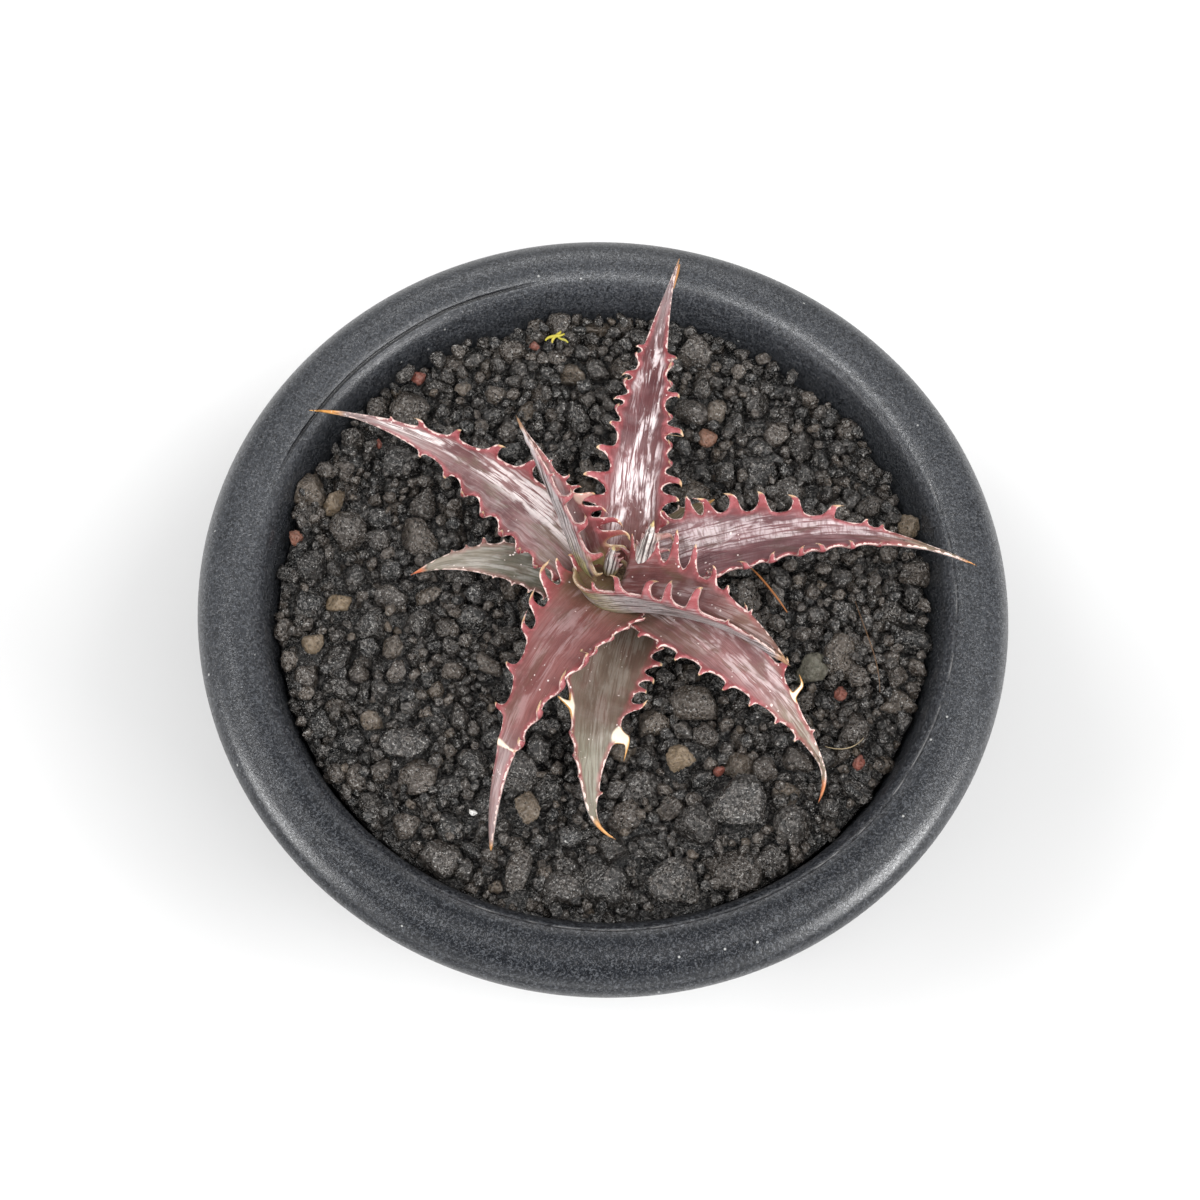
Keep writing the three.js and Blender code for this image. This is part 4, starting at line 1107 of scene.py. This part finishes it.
def seen_grains(grains, cell=0.4):
    """How many cells of a raster show each grain, at most, from above and from four slanting sides."""
    most = np.zeros(len(grains), dtype=int)
    for away in ((0, 0, 1), (0, -0.6, 0.8), (0, 0.6, 0.8), (-0.6, 0, 0.8), (0.6, 0, 0.8)):
        away = np.array(away, dtype=float)
        right = np.cross((0, 1, 0), away) if abs(away[0]) > 0 or away[1] == 0 else np.array((1.0, 0, 0))
        right = right / np.linalg.norm(right)
        up = np.cross(away, right)
        u, v, w = grains[:, :3] @ right, grains[:, :3] @ up, grains[:, :3] @ away
        low = np.array([u.min() - 4, v.min() - 4])
        size = (int((u.max() + 8 - low[0]) / cell), int((v.max() + 8 - low[1]) / cell))
        height, owner = np.full(size, -1e9), np.full(size, -1)
        for index, radius in enumerate(grains[:, 3]):
            span = int(radius / cell) + 1
            i = int((u[index] - low[0]) / cell) + np.arange(-span, span + 1)
            j = int((v[index] - low[1]) / cell) + np.arange(-span, span + 1)
            gu = low[0] + (i[:, None] + 0.5) * cell - u[index]
            gv = low[1] + (j[None, :] + 0.5) * cell - v[index]
            inside = radius**2 - gu**2 - gv**2
            top = w[index] + np.sqrt(np.maximum(inside, 0))
            window = (slice(i[0], i[-1] + 1), slice(j[0], j[-1] + 1))
            wins = (inside > 0) & (top > height[window])
            height[window][wins] = top[wins]
            owner[window][wins] = index
        most = np.maximum(most, np.bincount(owner[owner >= 0].ravel(), minlength=len(grains)))
    return most


def lump(draw, ball, radius):
    """How far the skin of a broken, porous granule is from its middle: knobs on a core, cut by planes."""
    shape = np.full(len(ball), 0.84)
    for _ in range(draw.integers(2, 6)):
        facing = draw.normal(size=3)
        facing /= np.linalg.norm(facing)
        out, knob = draw.uniform(0.50, 0.70), draw.uniform(0.26, 0.42)
        lean = out * (ball @ facing)
        inside = knob**2 - out**2 + lean**2
        skin = lean + np.sqrt(np.maximum(inside, 0))
        shape = np.maximum(shape, np.where((inside > 0) & (lean > 0), skin, 0))
    for _ in range(draw.integers(9, 17)):
        facing = draw.normal(size=3)
        facing /= np.linalg.norm(facing)
        shape = np.minimum(shape, draw.uniform(0.46, 0.72) / np.maximum(ball @ facing, 1e-3))
    shape += 0.070 / radius * waves(ball, int(draw.integers(1 << 30)), 0.95 / radius, 6)
    shape += 0.055 / radius * waves(ball, int(draw.integers(1 << 30)), 0.45 / radius, 8)
    return shape + 0.020 / radius * draw.normal(size=len(ball))


def dome(count):
    """Unit sphere of count points that lie closer together above than below: points and triangles."""
    share = (np.arange(count) + 0.5) / count
    z = np.interp(share, (0, 0.88, 1), (1, -0.25, -1))
    turn = np.arange(count) * np.pi * (3 - np.sqrt(5))
    flat = np.sqrt(1 - z**2)
    points = np.stack([flat * np.cos(turn), flat * np.sin(turn), z], -1)
    shape = bmesh.new()
    for point in points:
        shape.verts.new(point)
    shape.verts.index_update()
    bmesh.ops.convex_hull(shape, input=shape.verts)
    triangles = np.array([[v.index for v in face.verts] for face in shape.faces])
    shape.free()
    a, b, c = (points[triangles[:, k]] for k in range(3))
    inward = (np.cross(b - a, c - a) * (a + b + c)).sum(axis=1) < 0
    triangles[inward] = triangles[inward][:, ::-1]
    return points, triangles


def turned_lump(draw, ball, radius):
    """A lump, stretched and turned, on the given directions."""
    turn = np.linalg.qr(draw.normal(size=(3, 3)))[0]
    stretch = draw.uniform(0.74, 1.42, 3)
    inner = (ball @ turn) / stretch
    reach = np.linalg.norm(inner, axis=1)
    return ball * (lump(draw, inner / reach[:, None], radius) / reach)[:, None]


def grain_tint(draw):
    """Most grains are black or grey brown, and a few are tan. The brick red ones are all marked grains."""
    kinds = [draw.uniform(0, 0.4), draw.uniform(0.3, 0.9), draw.uniform(0.9, 1.5), draw.uniform(3.2, 3.7)]
    return draw.choice(kinds, p=[0.51, 0.40, 0.09, 0.0])


def gravel_material():
    """Black lava: porous and damp, with brown dust on its knobs, painted pale glints, painted highlights on
    its raised grit and painted shade in its sunken grit and pores.
    """
    s = Shader("lava_gravel")
    tint, random, _ = s.attribute("grain")
    place = s.place()
    place = s.shift(place, s.join(s.times(random, 40.0), 0.0, 0.0))  # so that no two grains match
    coarse = s.noise(place, 1.2, detail=4.0, rough=0.65)
    grit = s.noise(place, 0.50, detail=3.0, rough=0.8)
    pores = s.cells(place, 0.60)
    glints = s.noise(place, 0.34, detail=1.0)
    base = s.mix(s.step(tint, 0.0, 1.0), LAVA_BLACK, LAVA_BROWN)
    base = s.mix(s.step(tint, 1.0, 2.6), base, STONE_TAN)
    base = s.mix(s.step(tint, 2.7, 3.6), base, BRICK_RED)
    base = s.mix(s.step(tint, 4.4, 4.9), base, GREY_GREEN)
    base = s.mix(s.step(tint, 8.0, 8.9), base, WHITE)
    plain = s.step(tint, 2.4, 1.0)  # the black and brown lava, not the other stones
    dust_and_highlight = s.times(s.step(coarse, 0.44, 0.70), s.blend(random, 0.2, 0.75))
    base = s.mix(dust_and_highlight, base, s.mix(0.5, base, BROWN_DUST))
    # painted highlights on the raised grit, and painted shade in the sunken grit below
    raised_grit_highlight = s.times(s.step(grit, 0.52, 0.60), s.blend(plain, 0.4, 0.85))
    base = s.mix(raised_grit_highlight, base, s.mix(0.38, base, GRIT_HIGHLIGHT))
    sunken_grit_shade = s.times(s.step(grit, 0.46, 0.38), s.blend(plain, 0.5, 0.95))
    base = s.mix(sunken_grit_shade, base, s.mix(0.85, base, GRIT_SHADE))
    # painted shade in the pores
    base = s.mix(s.times(s.step(pores, 0.28, 0.14), plain, 0.9), base, PORE_SHADE)
    # painted pale glints
    base = s.mix(s.times(s.step(glints, 0.65, 0.71), plain, 0.6), base, LAVA_GLINT)
    s.set("Base Color", base)
    damp = s.times(s.step(s.noise(place, 2.4, detail=2.0), 0.34, 0.50), s.blend(plain, 0.3, 1.0))
    s.set("Roughness", s.blend(damp, 0.60, 0.23))
    s.set("Specular IOR Level", 0.75)
    rough = s.bump(coarse, 0.32)
    rough = s.bump(grit, 0.34, rough)
    s.set("Normal", s.bump(s.step(pores, 0.08, 0.34), 0.16, rough))
    return s.material


def build_gravel(material):
    """The loose grains that show, dealt out to a few pieces. The more a grain shows, the finer its mesh."""
    draw = np.random.default_rng(GRAIN_SEED)
    poured = under_leaves(pour_grains(draw))
    shown = seen_grains(poured)
    balls = [dome(count) for count in DOME_SIZES]
    groups = [[[], [], [], 0] for _ in range(GRAVEL_PIECES)]
    marked = {index: grain[3] for index, grain in enumerate(MARKED_GRAINS)}
    total = 0
    for index, (x, y, z, radius) in enumerate(poured):
        if shown[index] < 2:
            continue
        wanted = min(shown[index] * DOME_POINTS_SEEN, radius**2 * DOME_POINTS_MOST)
        points, triangles = next((ball for ball in balls if len(ball[0]) > wanted), balls[-1])
        tint = marked.get(index, grain_tint(draw))
        shaped = turned_lump(draw, points, radius) * radius * GRAIN_SWELL + (x, y, z)
        far = np.hypot(shaped[:, 0], shaped[:, 1])
        wall = MOUTH_RADIUS - 0.1 + 0.3 * np.clip(shaped[:, 2] - 86, 0, 3)
        shaped[:, :2] *= np.minimum(1, wall / np.maximum(far, 1e-6))[:, None]
        group = groups[total % GRAVEL_PIECES]
        group[0].append(shaped)
        group[1].append(triangles + group[3])
        group[2].append(np.tile((tint, draw.uniform(), 0.0), (len(points), 1)))
        group[3] += len(points)
        total += 1
    for index, (points, triangles, values, _) in enumerate(groups):
        piece = mesh_object(f"gravel_grains_{index + 1}", np.vstack(points), np.vstack(triangles))
        add_attribute(piece, "grain", np.vstack(values))
        piece.data.materials.append(material)
        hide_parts("gravel_bed")
        print(piece.name, len(piece.data.polygons), "triangles")
    print(len(poured), "grains,", total, "of them seen")


def build_bed(material):
    """The compact bed under the loose grains."""
    rings = [(r, BED_FLOOR_Z + 0.8) for r in np.linspace(inner_radius(BED_FLOOR_Z) - 0.5, 0.5, 36)]
    wall = [(inner_radius(z) - 0.4, z) for z in np.linspace(FLOOR_TOP_Z + 1.6, BED_FLOOR_Z - 0.5, 12)]
    profile = [(0.5, FLOOR_TOP_Z + 0.3), (FOOT_RADIUS - WALL_THICKNESS - 2, FLOOR_TOP_Z + 0.3), *wall, *rings]
    points, triangles = lathe(profile, 120)
    top = points[:, 2] > BED_FLOOR_Z + 0.5
    points[top, 2] += 0.7 * waves(points[top], 5, 2.2, 8) - 0.3
    piece = mesh_object("gravel_compact_bed", points, triangles)
    add_attribute(piece, "grain", np.tile((0.0, 0.3, 0.0), (len(points), 1)))
    piece.data.materials.append(material)
    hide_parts("gravel_bed")


def build_stones(material):
    """The loose bigger stones, which are named nodes of the CAD."""
    for number, stone in enumerate(STONES):
        draw = np.random.default_rng(STONE_SEED + number)
        size = float(np.mean(stone.radii))
        ball, triangles = icosphere(6 if size > 3 else 5)
        points = ball * lump(draw, ball, size)[:, None] * stone.radii * STONE_SWELL
        turn = np.radians(stone.turn)
        x = points[:, 0] * np.cos(turn) - points[:, 1] * np.sin(turn)
        y = points[:, 0] * np.sin(turn) + points[:, 1] * np.cos(turn)
        points = np.stack([x, y, points[:, 2]], -1) + stone.at
        piece = mesh_object(stone.name + "_lump", points, triangles)
        add_attribute(piece, "grain", np.tile((stone.tint, draw.uniform(), 0.0), (len(points), 1)))
        piece.data.materials.append(material)
        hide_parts(stone.name)


# Loose strands, places along each, its radius and its colour: three plant fibres and a flake of moss of three
# strands lie on the gravel, and a dry flake lies on the rim.
Fibre = namedtuple("Fibre", "path radius colour")
FIBRES = [
    Fibre(
        path=[(21.0, 5.9, 88.4), (22.6, 4.4, 88.6), (24.9, 2.1, 88.0), (27.0, -0.2, 87.0)],
        radius=0.17, colour=(0.36, 0.13, 0.035),
    ),
    Fibre(
        path=[(37.0, 2.8, 86.4), (38.8, -2.2, 87.0), (40.4, -6.6, 86.9), (41.3, -11.2, 86.2)],
        radius=0.07, colour=(0.16, 0.085, 0.04),
    ),
    Fibre(
        path=[(33.6, -20.6, 87.0), (35.4, -20.9, 87.2), (37.4, -20.4, 87.1), (39.2, -18.6, 86.6)],
        radius=0.07, colour=(0.42, 0.33, 0.20),
    ),
    Fibre(
        path=[(-12.4, 41.2, 87.2), (-11.6, 41.7, 87.6), (-10.6, 41.9, 87.7), (-9.6, 42.5, 87.4)],
        radius=0.26, colour=(0.50, 0.43, 0.05),
    ),
    Fibre(
        path=[(-11.3, 40.9, 87.2), (-11.1, 41.6, 87.6), (-10.5, 42.3, 87.6), (-10.2, 43.0, 87.2)],
        radius=0.24, colour=(0.58, 0.48, 0.06),
    ),
    Fibre(
        path=[(-10.6, 41.9, 87.6), (-10.0, 41.5, 87.6), (-9.5, 41.5, 87.4), (-8.9, 41.2, 87.1)],
        radius=0.20, colour=(0.44, 0.40, 0.06),
    ),
    Fibre(
        path=[(7.1, 54.6, 90.3), (6.9, 53.4, 90.35), (6.7, 52.2, 90.15), (6.5, 50.9, 89.4)],
        radius=0.26, colour=(0.44, 0.20, 0.07),
    ),
]


def tube(path, radius, steps=40, sides=8):
    """A thin round strand along a smooth path that tapers at its ends."""
    path = np.array(path)
    ends = np.linspace(0, 1, len(path))
    u = np.linspace(0, 1, steps)
    powers = np.vander(ends, len(path))
    line = np.vander(u, len(path)) @ np.linalg.solve(powers, path)
    run = np.gradient(line, axis=0)
    run /= np.linalg.norm(run, axis=1)[:, None]
    right = np.cross(run, (0, 0, 1))
    right /= np.linalg.norm(right, axis=1)[:, None]
    up = np.cross(right, run)
    thick = radius * (0.35 + 0.65 * np.sin(np.pi * np.clip(u, 0.04, 0.96)) ** 0.6)
    angle = np.linspace(0, 2 * np.pi, sides, endpoint=False)
    ring = np.cos(angle)[None, :, None] * right[:, None] + np.sin(angle)[None, :, None] * up[:, None]
    points = (line[:, None] + ring * thick[:, None, None]).reshape(-1, 3)
    caps = [(0, i + 1, i) for i in range(1, sides - 1)]
    last = (steps - 1) * sides
    caps += [(last, last + i, last + i + 1) for i in range(1, sides - 1)]
    return points, np.vstack([between_rings(steps, sides, closed=False), caps])


def fibre_material(number, colour):
    """One colour, with darker patches."""
    s = Shader(f"fibre_{number}")
    place = s.place()
    s.set("Base Color", s.mix(s.noise(place, 0.8, detail=3.0), tuple(c * 0.5 for c in colour), colour))
    s.set("Roughness", 0.5)
    return s.material


def build_fibres():
    for number, fibre in enumerate(FIBRES):
        points, triangles = tube(fibre.path, fibre.radius)
        piece = mesh_object(f"loose_fibre_{number + 1}", points, triangles)
        piece.data.materials.append(fibre_material(number + 1, fibre.colour))
        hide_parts("gravel_bed")


GRAVEL = gravel_material()
build_gravel(GRAVEL)
build_bed(GRAVEL)
build_stones(GRAVEL)
build_fibres()

# ---------------------------------------------------------------- stem


def stem_material():
    """Dry brown fibres that run upwards."""
    s = Shader("stem_bark")
    place = s.place()
    fibre = s.noise(s.scale(place, (1.0, 1.0, 0.2)), 0.35, detail=4.0)
    s.set("Base Color", s.mix(s.step(fibre, 0.35, 0.7), (0.05, 0.032, 0.018), (0.20, 0.14, 0.08)))
    s.set("Roughness", 0.8)
    s.set("Normal", s.bump(fibre, 0.2))
    return s.material


def build_stem():
    """A rough peg, pointed in the gravel and blunt among the leaf bases."""
    heights = np.linspace(STEM_TOP_Z - STEM_LENGTH, STEM_TOP_Z, 60)
    profile = [(0.05, heights[0])]
    for z in heights[1:-1]:
        u = (z - heights[0]) / (heights[-1] - heights[0])
        profile.append((STEM_RADIUS * 0.97 * min(1, u / 0.3, (1 - u) / 0.12 + 0.25), z))
    profile.append((0.05, heights[-1]))
    points, triangles = lathe(profile, 64)
    swell = 0.12 * waves(points * (1, 1, 0.5), 3, 1.5, 6)
    away = np.hypot(points[:, 0], points[:, 1])
    points[:, :2] *= (1 + swell * (away > 0.5) / np.maximum(away, 1))[:, None]
    points += (STEM_X, STEM_Y, 0)
    piece = mesh_object("stem_caudex", points, triangles)
    piece.data.materials.append(stem_material())
    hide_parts("stem")


build_stem()

# ---------------------------------------------------------------- floor, lights and camera

CAMERA_DISTANCE = 420.0  # to the middle of the rim's widest circle
CAMERA_ELEVATION = 67.6
CAMERA_ROLL = 4.64
CAMERA_LENS = 85.0
AIM_OFFSET = (-0.67, 0.06)  # right and up of the rim's middle, in the picture's plane


def build_floor():
    """Plain paper with painted light: it glows a little before, behind and beside the pot, which lightens the
    pot's shadows there.
    """
    reach = 3000.0
    corners = [(-reach, -reach, 0), (reach, -reach, 0), (reach, reach, 0), (-reach, reach, 0)]
    floor = mesh_object("floor", corners, [(0, 1, 2), (0, 2, 3)], body=None)
    s = Shader("floor_paper")
    x, y, _ = s.split(s.place())
    mottle = s.noise(s.place(), 350.0, detail=2.0)
    s.set("Base Color", s.mix(mottle, (0.565, 0.565, 0.565), (0.585, 0.585, 0.585)))
    s.set("Roughness", 0.9)
    # painted light: the paper glows before, behind and beside the pot
    before = s.times(s.step(y, -15.0, -75.0), s.step(s.size(x), 105.0, 25.0), 0.45)
    behind = s.times(s.step(y, 10.0, 90.0), 0.18)
    left = s.times(s.step(x, -45.0, -95.0), s.step(y, -75.0, -25.0), 0.10)
    right = s.times(s.step(x, 30.0, 110.0), 0.05)
    s.set("Emission Color", (1.0, 1.0, 1.0, 1.0))
    s.set("Emission Strength", s.plus(before, behind, left, right))
    floor.data.materials.append(s.material)


def area_light(name, place, size, power):
    """A white softbox that faces the middle of the rim. Its power is in watts."""
    data = bpy.data.lights.new(name, "AREA")
    data.shape = "RECTANGLE"
    data.size, data.size_y = size[0] * MM, size[1] * MM
    data.energy = power
    light = bpy.data.objects.new(name, data)
    light.location = Vector(place) * MM
    target = Vector((0.0, 0.0, RIM_WIDEST_Z)) * MM
    light.rotation_euler = (target - light.location).to_track_quat("-Z", "Y").to_euler()
    bpy.context.scene.collection.objects.link(light)
    return light


def build_lights():
    """Soft white light from above and from all sides, as in the photograph."""
    area_light("top_left_softbox", (-430, -150, 1050), (380, 340), 4.8)
    area_light("top_right_softbox", (430, -150, 1050), (380, 340), 4.8)
    front = area_light("front_softbox", (60, -560, 1030), (700, 500), 8.0)
    front.visible_glossy = False  # it fills shadows without a highlight of its own
    area_light("right_softbox", (900, -400, 330), (440, 400), 7.9)
    area_light("left_softbox", (-900, -420, 330), (400, 360), 5.0)
    area_light("back_softbox", (-120, 900, 700), (420, 260), 1.5)
    world = bpy.data.worlds.new("studio")
    world.use_nodes = True
    world.node_tree.nodes["Background"].inputs[0].default_value = (1.0, 1.0, 1.0, 1.0)
    world.node_tree.nodes["Background"].inputs[1].default_value = 0.32
    bpy.context.scene.world = world


def build_camera():
    """Looks down on the pot as the photograph does, a little rolled."""
    data = bpy.data.cameras.new("camera")
    data.lens = CAMERA_LENS
    data.sensor_width = 36.0
    data.clip_start, data.clip_end = 0.01, 20.0
    camera = bpy.data.objects.new("camera", data)
    tilt = np.radians(CAMERA_ELEVATION)
    look = Vector((0.0, np.cos(tilt), -np.sin(tilt)))
    up = Vector((0.0, np.sin(tilt), np.cos(tilt)))
    eye = Vector((0.0, 0.0, RIM_WIDEST_Z)) - look * CAMERA_DISTANCE
    target = Vector((AIM_OFFSET[0], 0.0, RIM_WIDEST_Z)) + up * AIM_OFFSET[1]
    camera.location = eye * MM
    facing = (target - eye).to_track_quat("-Z", "Y").to_matrix().to_4x4()
    roll = Matrix.Rotation(np.radians(CAMERA_ROLL), 4, "Z")
    camera.rotation_euler = (facing @ roll).to_euler()
    bpy.context.scene.collection.objects.link(camera)
    bpy.context.scene.camera = camera


build_floor()
build_lights()
build_camera()
bpy.context.scene.view_settings.view_transform = "Standard"
